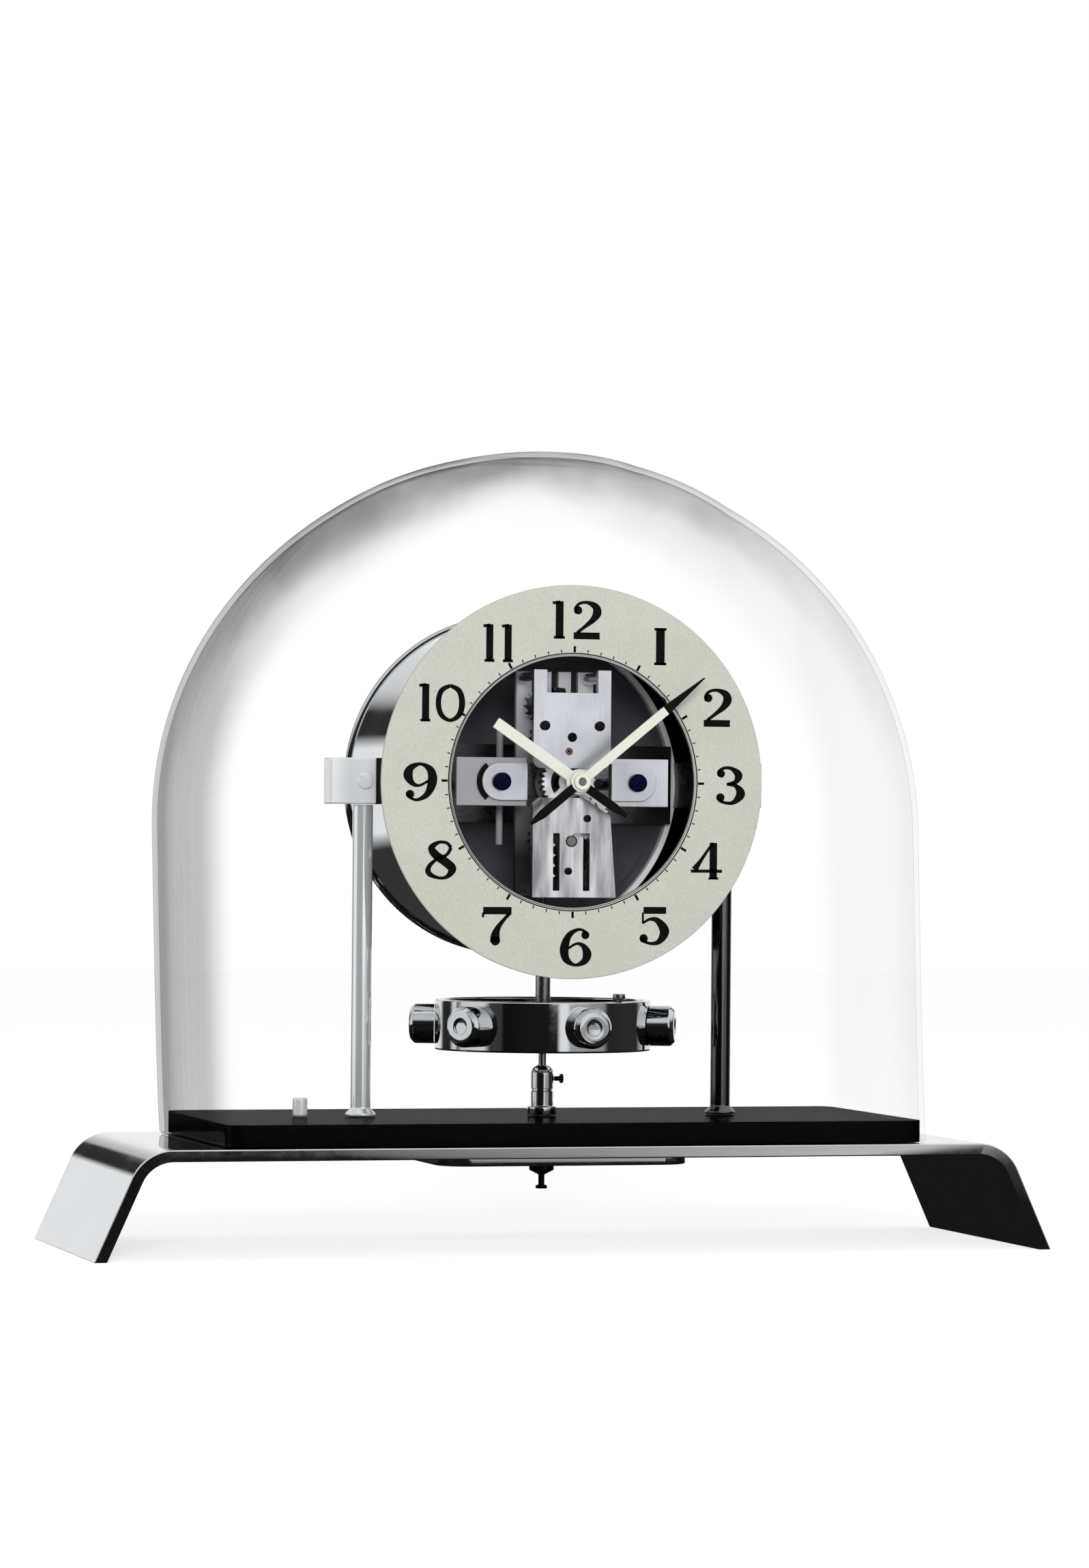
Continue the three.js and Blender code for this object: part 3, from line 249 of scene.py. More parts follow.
def taken_from(mesh: Mesh) -> Solid:
    """Takes the solid out of a Blender mesh, and removes the mesh.

    Args:
        mesh: the mesh, in millimetres.

    Returns:
        The solid.
    """
    corners = [vertex.co.copy() for vertex in mesh.vertices]
    faces = [tuple(polygon.vertices) for polygon in mesh.polygons]
    bpy.data.meshes.remove(mesh)
    return Solid(corners, faces)


def evaluated_mesh(piece: Object) -> Mesh:
    """Plain mesh of an object with its modifiers worked out."""
    bpy.context.view_layer.update()
    graph = bpy.context.evaluated_depsgraph_get()
    return bpy.data.meshes.new_from_object(piece.evaluated_get(graph))


def discard(piece: Object) -> None:
    """Removes a helper object and its mesh."""
    mesh = piece.data
    bpy.data.objects.remove(piece)
    bpy.data.meshes.remove(mesh)


def placed(mesh: Mesh, name: str, finish: "Finish", body: str, *stands_for: str) -> None:
    """Cleans a mesh, evens out its shading, dresses it and hangs it on its body.

    Args:
        mesh: the mesh, in metres, at its place.
        name: the piece's name.
        finish: what its surface is.
        body: the body that it moves with.
        stands_for: the plain nodes that it takes the place of.
    """
    shaped = bmesh.new()
    shaped.from_mesh(mesh)
    bmesh.ops.dissolve_degenerate(shaped, edges=shaped.edges, dist=NO_LENGTH)
    shaped.to_mesh(mesh)
    shaped.free()
    piece = new_object(name, mesh)
    piece.modifiers.new("even_shading", "WEIGHTED_NORMAL").keep_sharp = True
    smooth = evaluated_mesh(piece)
    piece.modifiers.clear()
    piece.data = smooth
    smooth.name = name
    bpy.data.meshes.remove(mesh)
    smooth.materials.clear()
    smooth.materials.append(finish.material())
    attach(piece, body)
    if stands_for:
        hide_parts(*stands_for)
    log.info("%s: %d faces, %s", name, len(smooth.polygons), finish.name)


def dress(name: str, finish: "Finish") -> None:
    """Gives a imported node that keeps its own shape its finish."""
    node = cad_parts[name]
    node.data.materials.clear()
    node.data.materials.append(finish.material())
    log.info("%s: kept as packed, %s", name, finish.name)


def lofted(rings: list[list[Vector]], closed: bool = False) -> Solid:
    """Joins rings of points, one to the next.

    Args:
        rings: rings with equally many points; one with a single point closes an end.
        closed: whether the last ring joins the first.

    Returns:
        The solid.
    """
    numbered: list[range] = []
    for ring in rings:
        start = numbered[-1].stop if numbered else 0
        numbered.append(range(start, start + len(ring)))
    sides = max(len(ring) for ring in rings)
    faces: Faces = []
    for low, high in zip(numbered, numbered[1:] + (numbered[:1] if closed else [])):
        for step in range(sides):
            after = (step + 1) % sides
            if len(low) > 1 and len(high) > 1:
                faces.append((low[step], low[after], high[after], high[step]))
            elif len(high) > 1:
                faces.append((low[0], high[after], high[step]))
            elif len(low) > 1:
                faces.append((low[step], low[after], high[0]))
    return Solid([point for ring in rings for point in ring], faces).outward()


def turned(profile: Profile, axis: Axis, sides: int = 64) -> Solid:
    """Turns a profile about an axis.

    Args:
        profile: pairs of radius and distance along the axis. It runs from the axis back to the
            axis, or closes on its first pair.
        axis: the axis.
        sides: steps around.

    Returns:
        The turned solid.
    """
    closed = profile[0] == profile[-1] and profile[0][0] > 0
    angles = [2 * math.pi * step / sides for step in range(sides)]
    rings = [
        [
            axis.point(radius * math.cos(angle), radius * math.sin(angle), along)
            for angle in (angles if radius >= TINY else angles[:1])
        ]
        for radius, along in (profile[:-1] if closed else profile)
    ]
    return lofted(rings, closed)


def softened(profile: Profile, reach: float, steps: int = 3) -> Profile:
    """Rounds the corners of a profile that is to be turned.

    Args:
        profile: pairs of radius and distance.
        reach: how far the rounding starts from each corner.
        steps: points in each rounding, less one.

    Returns:
        The rounded profile.
    """
    closed = profile[0] == profile[-1] and profile[0][0] > 0
    core = profile[:-1] if closed else profile
    count = len(core)
    made: Profile = []
    for index, here in enumerate(core):
        if not closed and index in (0, count - 1):
            made.append(here)
            continue
        corner = Vector(here)
        back = Vector(core[index - 1]) - corner
        ahead = Vector(core[(index + 1) % count]) - corner
        straight = math.radians(STRAIGHT_ANGLE)
        if min(back.length, ahead.length) < TINY or back.angle(ahead) > straight:
            made.append(here)
            continue
        start = corner + back.normalized() * min(reach, ROUNDING_SHARE * back.length)
        end = corner + ahead.normalized() * min(reach, ROUNDING_SHARE * ahead.length)
        for step in range(steps + 1):
            share = step / steps
            point = start * (1 - share) ** 2 + corner * 2 * share * (1 - share) + end * share**2
            made.append((point.x, point.y))
    if closed:
        made.append(made[0])
    return made


def cylinder(radius: float, low: float, high: float) -> Profile:
    """Profile of a plain cylinder."""
    return [(0.0, low), (radius, low), (radius, high), (0.0, high)]


def rod(radius: float, low: float, high: float, axis: Axis, sides: int = 40) -> Solid:
    """Round bar with slightly rounded ends."""
    return turned(softened(cylinder(radius, low, high), min(0.2, radius / 3)), axis, sides)


def tube(
    inner: float, outer: float, low: float, high: float, axis: Axis, sides: int = 128,
    soft: float = 0.2,
) -> Solid:
    """Ring or tube with rounded edges."""
    profile = [(inner, low), (outer, low), (outer, high), (inner, high), (inner, low)]
    return turned(softened(profile, soft), axis, sides)


def rectangle(half_width: float, low: float, high: float) -> Outline:
    """Corner points of a rectangle that stands evenly to both sides of the middle."""
    return [(-half_width, low), (half_width, low), (half_width, high), (-half_width, high)]


def prism(outline: Outline, low: float, high: float, axis: Axis) -> Solid:
    """Flat plate with a drawn outline.

    Args:
        outline: corners across and up, in order.
        low: where the plate starts along the axis.
        high: where it ends.
        axis: direction of its thickness.

    Returns:
        The plate.
    """
    count = len(outline)
    corners = [axis.point(across, up, level) for level in (low, high) for across, up in outline]
    faces: Faces = [tuple(range(count))]
    faces.append(tuple(range(2 * count - 1, count - 1, -1)))
    for index in range(count):
        after = (index + 1) % count
        faces.append((index, index + count, after + count, after))
    return Solid(corners, faces).outward()


def block(length: float, depth: float, height: float, x: float, y: float, z: float) -> Solid:
    """Square block around a middle point."""
    outline = [(x - length / 2, y - depth / 2), (x + length / 2, y - depth / 2)]
    outline += [(x + length / 2, y + depth / 2), (x - length / 2, y + depth / 2)]
    return prism(outline, z - height / 2, z + height / 2, Axis.Z)


def rounded_rectangle(
    half_length: float, half_depth: float, radius: float, steps: int = 10
) -> Outline:
    """Corner points of a rectangle with rounded corners, around its middle.

    Args:
        half_length: half its length.
        half_depth: half its depth.
        radius: radius of its corners.
        steps: steps along each corner.

    Returns:
        The outline.
    """
    outline: Outline = []
    for quarter, (sign_x, sign_y) in enumerate(QUARTERS):
        middle_x, middle_y = sign_x * (half_length - radius), sign_y * (half_depth - radius)
        for step in range(steps + 1):
            angle = (quarter + step / steps) * math.pi / 2
            outline.append(
                (middle_x + radius * math.cos(angle), middle_y + radius * math.sin(angle))
            )
    return outline


def arc_points(
    x: float, y: float, radius: float, start: float, end: float, steps: int = 16
) -> Outline:
    """Points along an arc around a place across and up, its angles in degrees."""
    angles = [math.radians(start + (end - start) * step / steps) for step in range(steps + 1)]
    return [(x + radius * math.cos(angle), y + radius * math.sin(angle)) for angle in angles]


def sector(inner: float, outer: float, middle: float, spread: float) -> Outline:
    """Outline of a piece of a ring: its middle and its spread to either side in degrees."""
    low, high = middle - spread, middle + spread
    return arc_points(0, 0, outer, low, high) + arc_points(0, 0, inner, high, low)


def slotted_head(
    radius: float, thickness: float, back: float, slot: float = 0.6, lean: float = 0.0
) -> Solid:
    """Screw head that faces the front, with its driver slot.

    Args:
        radius: radius of the head.
        thickness: its height.
        back: where its underside is.
        slot: width of the driver slot.
        lean: how far the slot is turned, in degrees.

    Returns:
        The head, on the axis through the origin.
    """
    front = back - thickness
    profile = [(0.0, back), (radius, back), (radius, front), (0.0, front)]
    head = turned(softened(profile, 0.3 * thickness), Axis.Y, 48)
    groove = block(2 * radius + 1, 0.9 * thickness, slot, 0, front, 0).swung(Axis.Y, lean)
    return head.less(groove)


# Nodes, and the Geometry Nodes trees that set out copies


def linear(colour: str) -> Colour:
    """Scene colour of a hex colour as it looks on a screen."""
    parts = [int(colour[at : at + 2], 16) / 255 for at in (1, 3, 5)]
    shares = [
        part / 12.92 if part <= 0.04045 else ((part + 0.055) / 1.055) ** 2.4 for part in parts
    ]
    return (*shares, 1.0)


def scaled(colour: Colour, share: float) -> Colour:
    """A colour made darker or lighter, but no lighter than white."""
    return (*(min(1.0, part * share) for part in colour[:3]), 1.0)


def grey(tone: float) -> Colour:
    """Grey of that tone."""
    return (tone, tone, tone, 1.0)


class Desk:
    """Adds and joins the nodes of one tree."""

    def __init__(self, tree: bpy.types.NodeTree) -> None:
        """Clears the tree to start from."""
        self.tree = tree
        tree.nodes.clear()

    def add(self, kind: str, inputs: dict | None = None, **settings: object) -> bpy.types.Node:
        """Adds a node.

        Args:
            kind: the node's type.
            inputs: a value or a socket for each input, by name or number.
            settings: the node's own settings.

        Returns:
            The node.
        """
        node = self.tree.nodes.new(kind)
        for name, value in settings.items():
            setattr(node, name, value)
        for key, value in (inputs or {}).items():
            if isinstance(value, Socket):
                self.tree.links.new(value, node.inputs[key])
            else:
                node.inputs[key].default_value = value
        return node

    def shader(self, kind: str, inputs: dict, **settings: object) -> Socket:
        """First output of a new shader node, such as Emission or MapRange."""
        return self.add(f"ShaderNode{kind}", inputs, **settings).outputs[0]

    def maths(
        self, operation: str, first: object, second: object = 0.0, clamp: bool = False
    ) -> Socket:
        """Result of a Math node on two sockets or numbers."""
        return self.shader("Math", {0: first, 1: second}, operation=operation, use_clamp=clamp)

    def place(self) -> Socket:
        """Where a point is, in object coordinates."""
        return self.add("ShaderNodeTexCoord").outputs["Object"]

    def parts(self, vector: Socket) -> bpy.types.NodeOutputs:
        """The X, Y and Z of a vector."""
        return self.add("ShaderNodeSeparateXYZ", {0: vector}).outputs

    def noise(self, scale: float, stretch: Point = (1, 1, 1), detail: float = 3.0) -> Socket:
        """Noise over the piece, in object coordinates.

        Args:
            scale: grains to a metre.
            stretch: how much finer it is along each axis.
            detail: finer layers.

        Returns:
            Its value, from 0 to 1.
        """
        mapped = self.shader("Mapping", {"Vector": self.place(), "Scale": stretch})
        return self.shader("TexNoise", {"Vector": mapped, "Scale": scale, "Detail": detail})

    def between(
        self, value: Socket, low: float, high: float, start: float = 0.3, end: float = 0.7
    ) -> Socket:
        """A value that runs from start to end, spread from low to high and kept inside."""
        return self.shader("MapRange", dict(enumerate((value, start, end, low, high))))

    def around(self, value: Socket, middle: float, reach: float) -> Socket:
        """A value spread evenly to both sides of a middle."""
        return self.between(value, middle - reach, middle + reach)

    def blend(self, share: object, first: object, second: object) -> Socket:
        """Colour between two colours."""
        inputs = {0: share, 6: first, 7: second}
        return self.add("ShaderNodeMix", inputs, data_type="RGBA").outputs[2]

    def ramp(self, value: Socket, stops: Stops) -> Socket:
        """Grey that follows a value through a list of stops.

        Args:
            value: the value, from 0 to 1.
            stops: pairs of place and grey, in order.

        Returns:
            The grey as a colour.
        """
        node = self.add("ShaderNodeValToRGB", {"Fac": value})
        band = node.color_ramp
        while len(band.elements) < len(stops):
            band.elements.new(0.5)
        for element, (place, tone) in zip(band.elements, stops):
            element.position = place
            element.color = grey(tone)
        return node.outputs[0]

    def inside(self, value: Socket, low: float, high: float, soft: float) -> Socket:
        """One between two limits and zero outside them, with soft edges."""
        rise = self.between(value, 0.0, 1.0, low - soft, low + soft)
        fall = self.between(value, 1.0, 0.0, high - soft, high + soft)
        return self.maths("MULTIPLY", rise, fall)

    def bump(self, height: Socket, distance: float) -> Socket:
        """Normal of a surface with a fine relief, its distance in millimetres."""
        return self.shader("Bump", {"Height": height, "Distance": distance * MM, "Strength": 1.0})

    def mixed(self, share: Socket, first: Socket, second: Socket) -> Socket:
        """Shader between two shaders."""
        return self.shader("MixShader", {0: share, 1: first, 2: second})

    def slant(self) -> Socket:
        """Nought where the surface faces the eye, and one where it is seen edge on."""
        return self.add("ShaderNodeLayerWeight", {"Blend": 0.5}).outputs["Facing"]

    def after(self, kind: str) -> Socket:
        """One for light on its way after a bounce of that kind, Diffuse or Glossy."""
        path = self.add("ShaderNodeLightPath").outputs
        return self.maths("GREATER_THAN", path[f"{kind} Depth"], 0.5)

    def finish(self, kind: str, surface: Socket) -> None:
        """Adds the output of a Material or a World."""
        self.add(f"ShaderNodeOutput{kind}", {"Surface": surface})


class CopyTree:
    """Base of the trees that repeat a piece at points, then realize and dress the copies."""

    label = "copies"
    extra: tuple[tuple[str, str], ...] = ()  # names and kinds of a tree's own inputs
    common = (
        ("Geometry", "Geometry"), ("Copies", "Int"), ("Skip Every", "Int"),
        ("Jitter", "Float"), ("Seed", "Int"), ("Finish", "Material"),
    )

    def __init__(self) -> None:
        """Makes the tree's sockets and plants its nodes."""
        self.tree = bpy.data.node_groups.new(self.label, "GeometryNodeTree")
        self.desk = Desk(self.tree)
        self.sockets: dict[str, str] = {}
        new_socket = self.tree.interface.new_socket
        for name, kind in (*self.common, *self.extra):
            made = new_socket(name, in_out="INPUT", socket_type=f"NodeSocket{kind}")
            self.sockets[name] = made.identifier
        new_socket("Geometry", in_out="OUTPUT", socket_type="NodeSocketGeometry")
        self.entry = self.desk.add("NodeGroupInput").outputs
        self.index = self.desk.add("GeometryNodeInputIndex").outputs[0]
        instances = self.plant()
        real = self.desk.add("GeometryNodeRealizeInstances", {0: instances}).outputs[0]
        inputs = {"Geometry": real, "Material": self.entry["Finish"]}
        dressed = self.desk.add("GeometryNodeSetMaterial", inputs).outputs[0]
        self.desk.add("NodeGroupOutput", {0: dressed})

    def plant(self) -> Socket:
        """Instances of the piece; each kind of tree sets them out in its own way."""
        raise NotImplementedError

    def _copies(self, **places: Socket) -> Socket:
        """Puts a copy at each point but the skipped ones.

        Args:
            places: Position of the points, or Rotation of the copies.

        Returns:
            The instances.
        """
        skip = self.entry["Skip Every"]
        rest = self.desk.maths("MODULO", self.index, skip)
        kept = self.desk.maths("LESS_THAN", rest, self.desk.maths("SUBTRACT", skip, 1.5))
        inputs = {"Count": self.entry["Copies"]}
        if "Position" in places:
            inputs["Position"] = places.pop("Position")
        points = self.desk.add("GeometryNodePoints", inputs).outputs[0]
        inputs = {"Points": points, "Selection": kept, "Instance": self.entry["Geometry"]}
        return self.desk.add("GeometryNodeInstanceOnPoints", {**inputs, **places}).outputs[0]

    def _scatter(self) -> Socket:
        """Small seeded number for each copy, within Jitter."""
        jitter = self.entry["Jitter"]
        inputs = {"ID": self.index, "Seed": self.entry["Seed"]}
        node = self.desk.add("FunctionNodeRandomValue", inputs, data_type="FLOAT")
        limits = [socket for socket in node.inputs if socket.type == "VALUE"]
        self.tree.links.new(self.desk.maths("MULTIPLY", jitter, -1.0), limits[0])
        self.tree.links.new(jitter, limits[1])
        return next(socket for socket in node.outputs if socket.type == "VALUE")

    def spread(
        self, solid: Solid, name: str, finish: "Finish", *stands_for: str, body: str = "frame",
        **settings: object,
    ) -> None:
        """Repeats a solid and makes the result one plain piece.

        Args:
            solid: what is repeated.
            name: the piece's name.
            finish: what its surface is.
            stands_for: the plain nodes that it takes the place of.
            body: the body that it moves with.
            settings: values for the tree's inputs, with underscores for spaces.
        """
        source = new_object("repeating", solid.mesh("repeating"))
        modifier = source.modifiers.new("repeating", "NODES")
        modifier.node_group = self.tree
        values = {"Copies": 1, "Skip Every": 9999, "Jitter": 0.0, "Seed": 7}
        values.update({key.replace("_", " ").title(): value for key, value in settings.items()})
        values["Finish"] = finish.material()
        for key, value in values.items():
            modifier[self.sockets[key]] = value
        mesh = evaluated_mesh(source)
        source.modifiers.clear()
        discard(source)
        placed(mesh, name, finish, body, *stands_for)


class CopyRing(CopyTree):
    """Copies turned about an axis, such as minute marks, weights and flutes."""

    label = "copies_in_a_ring"
    extra = (("Turn", "Float"), ("Start", "Float"), ("Axis", "Vector"), ("Centre", "Vector"))

    def plant(self) -> Socket:
        """Copies that are each turned by Start plus Turn times their number.

        Returns:
            The instances.
        """
        desk, entry = self.desk, self.entry
        turned_by = desk.maths("MULTIPLY", self.index, entry["Turn"])
        degrees = desk.maths("ADD", turned_by, entry["Start"])
        degrees = desk.maths("ADD", degrees, self._scatter())
        angle = desk.maths("MULTIPLY", degrees, math.pi / 180)
        inputs = {"Axis": entry["Axis"], "Angle": angle}
        turn = desk.add("FunctionNodeAxisAngleToRotation", inputs).outputs[0]
        inputs = {"Instances": self._copies(Rotation=turn), "Translation": entry["Centre"]}
        inputs["Local Space"] = False
        return desk.add("GeometryNodeTranslateInstances", inputs).outputs[0]


class CopyRow(CopyTree):
    """Copies in a straight row, such as a pair of screws or the teeth of a rack."""

    label = "copies_in_a_row"
    extra = (("First", "Vector"), ("Step", "Vector"))

    def plant(self) -> Socket:
        """Copies that each stand at First plus Step times their number.

        Returns:
            The instances.
        """
        desk, entry = self.desk, self.entry
        number = desk.maths("ADD", self.index, self._scatter())
        way = desk.shader("VectorMath", {0: entry["Step"], "Scale": number}, operation="SCALE")
        place = desk.shader("VectorMath", {0: entry["First"], 1: way}, operation="ADD")
        return self._copies(Position=place)


# Finishes


@dataclass(frozen=True)
class Finish:
    """A surface finish, and the record's material slot that it belongs to."""

    name: str
    slot: str
    colour: str

    def material(self) -> bpy.types.Material:
        """The finish's material, made on first use."""
        known = bpy.data.materials.get(self.name)
        if known:
            return known
        made = bpy.data.materials.new(self.name)
        made.use_nodes = True
        desk = Desk(made.node_tree)
        desk.finish("Material", self.surface(desk))
        made.diffuse_color = linear(self.colour)
        return made

    def surface(self, desk: Desk) -> Socket:
        """Shader of the finish; each kind of finish has its own."""
        raise NotImplementedError


@dataclass(frozen=True)
class Metal(Finish):
    """Bare metal, from mirror chrome to satin nickel."""

    roughness: float = 0.1
    smear: float = 0.03  # how much the roughness varies
    smear_scale: float = 60.0  # patches to a metre
    grain_scale: float = 900.0  # scratches to a metre
    grain: Point = (1.0, 1.0, 1.0)  # finer along these axes
    relief: float = 0.0006  # depth of the scratches, in millimetres
    patch_darkening: float = 0.06  # share that the colour darkens in patches
    metallic: float = 1.0  # less for a frosted surface, which scatters light
    streak: Point = (1.0, 1.0, 1.0)  # finer patches along these axes
    painted_shade: Pair | None = None  # heights in metres over which painted shade runs from dark to full colour
    painted_shade_colour: Colour = (0.03, 0.03, 0.032, 1.0)

    def surface(self, desk: Desk) -> Socket:
        """Metal whose gloss varies in soft patches, with fine scratches; some pieces also darken
        towards the bottom as painted shade.

        Args:
            desk: the material's nodes.

        Returns:
            The shader.
        """
        patches = desk.noise(self.smear_scale, self.streak)
        scratches = desk.noise(self.grain_scale, self.grain, 5.0)
        rough = desk.around(patches, self.roughness, self.smear)
        fine = desk.around(scratches, 0.0, self.smear / 2)
        rough = desk.maths("ADD", rough, fine, True)
        colour = linear(self.colour)
        dull = scaled(colour, 1 - self.patch_darkening)
        tone = desk.blend(desk.between(patches, 0.0, 1.0), colour, dull)
        # painted shade: the piece darkens towards its bottom
        if self.painted_shade:
            height = desk.parts(desk.place())[2]
            tone = desk.blend(desk.between(height, 0.0, 1.0, *self.painted_shade), self.painted_shade_colour, tone)
        inputs = {
            "Base Color": tone,
            "Metallic": self.metallic,
            "Roughness": rough,
            "Normal": desk.bump(scratches, self.relief),
        }
        return desk.shader("BsdfPrincipled", inputs)


@dataclass(frozen=True)
class Coating(Finish):
    """Lacquer, paint, print or rubber over the metal."""

    roughness: float = 0.3
    smear: float = 0.05
    speckle: float = 0.1  # share that the colour varies
    speckle_scale: float = 2500.0  # specks to a metre
    relief: float = 0.004  # depth of the grain, in millimetres
    clear_coat: float = 0.0
    shine: float = 0.5  # half is a usual paint's mirroring
    patch_scale: float = 70.0  # patches to a metre
    grain_share: float = 0.35  # how far the grain shifts the colour to either side
    patch_shares: Pair = (0.35, 0.65)  # where the patches put it

    def surface(self, desk: Desk) -> Socket:
        """Paint with a fine grain in its colour, gloss and height.

        Args:
            desk: the material's nodes.

        Returns:
            The shader.
        """
        grain = desk.noise(self.speckle_scale, detail=4.0)
        patches = desk.noise(self.patch_scale)
        colour = linear(self.colour)
        shift = desk.around(grain, 0.0, self.grain_share)
        mixed = desk.maths("ADD", shift, desk.between(patches, *self.patch_shares))
        light, dark = scaled(colour, 1 + self.speckle), scaled(colour, 1 - self.speckle)
        inputs = {
            "Base Color": desk.blend(mixed, dark, light),
            "Roughness": desk.around(patches, self.roughness, self.smear),
            "Coat Weight": self.clear_coat,
            "Specular IOR Level": self.shine,
            "Normal": desk.bump(grain, self.relief),
        }
        return desk.shader("BsdfPrincipled", inputs)


@dataclass(frozen=True)
class BlownGlass(Finish):
    """Clear glass that lets the light through and greys where it is seen edge on, a painted
    reflection.
    """

    index: float = 1.0  # the wall is too thin to bend what is seen through it
    clear_side: Pair = (-0.02, 0.1)  # metres across, from full greying to the least: painted reflection, greyer on the left
    clear_share: float = 0.1
    streak_scale: float = 70.0  # streaks to a metre
    streak: Point = (1.0, 1.0, 0.03)  # drawn out upwards
    streak_shares: Pair = (0.7, 1.15)  # how far they change the greying
    edge_share: float = 0.7  # greying that its very edge keeps all round
    edge: Pair = (0.86, 0.97)  # slants between which that edge begins
    # painted reflection: grey by slant, from clear where the glass faces the eye to dark at its
    # edge
    greying: Stops = (
        (0.0, 1.0), (0.08, 1.0), (0.13, 0.96), (0.2, 0.86), (0.27, 0.77), (0.37, 0.68),
        (0.48, 0.58), (0.6, 0.52), (0.83, 0.5), (0.87, 0.36), (0.91, 0.25), (1.0, 0.08),
    )

    def surface(self, desk: Desk) -> Socket:
        """Glass that greys by its slant, in faint upright streaks, as painted reflection.

        Args:
            desk: the material's nodes.

        Returns:
            The shader.
        """
        slant = desk.slant()
        across = desk.parts(desk.place())[0]
        streaks = desk.noise(self.streak_scale, self.streak, 2.0)
        # painted reflection: greyer on the left side and at the very edge, in upright streaks
        share = desk.between(across, 1.0, self.clear_share, *self.clear_side)
        share = desk.maths("MULTIPLY", share, desk.between(streaks, *self.streak_shares))
        edge = desk.between(slant, 0.0, self.edge_share, *self.edge)
        share = desk.maths("MAXIMUM", share, edge)
        inputs = {
            "Base Color": desk.blend(share, WHITE, desk.ramp(slant, self.greying)),
            "Roughness": 0.0,
            "IOR": self.index,
            "Transmission Weight": 1.0,
        }
        clear = desk.shader("BsdfPrincipled", inputs)
        shadow = desk.add("ShaderNodeLightPath").outputs["Is Shadow Ray"]
        unseen = desk.maths("MAXIMUM", shadow, desk.after("Diffuse"))
        through = desk.shader("BsdfTransparent", {"Color": linear(self.colour)})
        return desk.mixed(unseen, clear, through)


@dataclass(frozen=True)
class Lacquer(Finish):
    """Black lacquer that mirrors faintly, and more where it is seen edge on."""

    roughness: float = 0.12
    smear: float = 0.04  # how much the roughness varies
    haze_scale: float = 45.0  # patches to a metre
    flow_scale: float = 110.0  # waves to a metre
    relief: float = 0.002  # depth of the waves, in millimetres
    gloss: Stops = ((0.0, 0.004), (0.5, 0.015), (0.9, 0.05), (1.0, 0.09))

    def surface(self, desk: Desk) -> Socket:
        """Dark coat under a thin gloss whose strength and smoothness vary a little.

        Args:
            desk: the material's nodes.

        Returns:
            The shader.
        """
        rough = desk.around(desk.noise(self.haze_scale), self.roughness, self.smear)
        flow = desk.bump(desk.noise(self.flow_scale, detail=1.0), self.relief)
        coat = desk.shader("BsdfDiffuse", {"Color": linear(self.colour), "Normal": flow})
        inputs = {"Color": WHITE, "Roughness": rough, "Normal": flow}
        shine = desk.shader("BsdfGlossy", inputs)
        return desk.mixed(desk.ramp(desk.slant(), self.gloss), coat, shine)


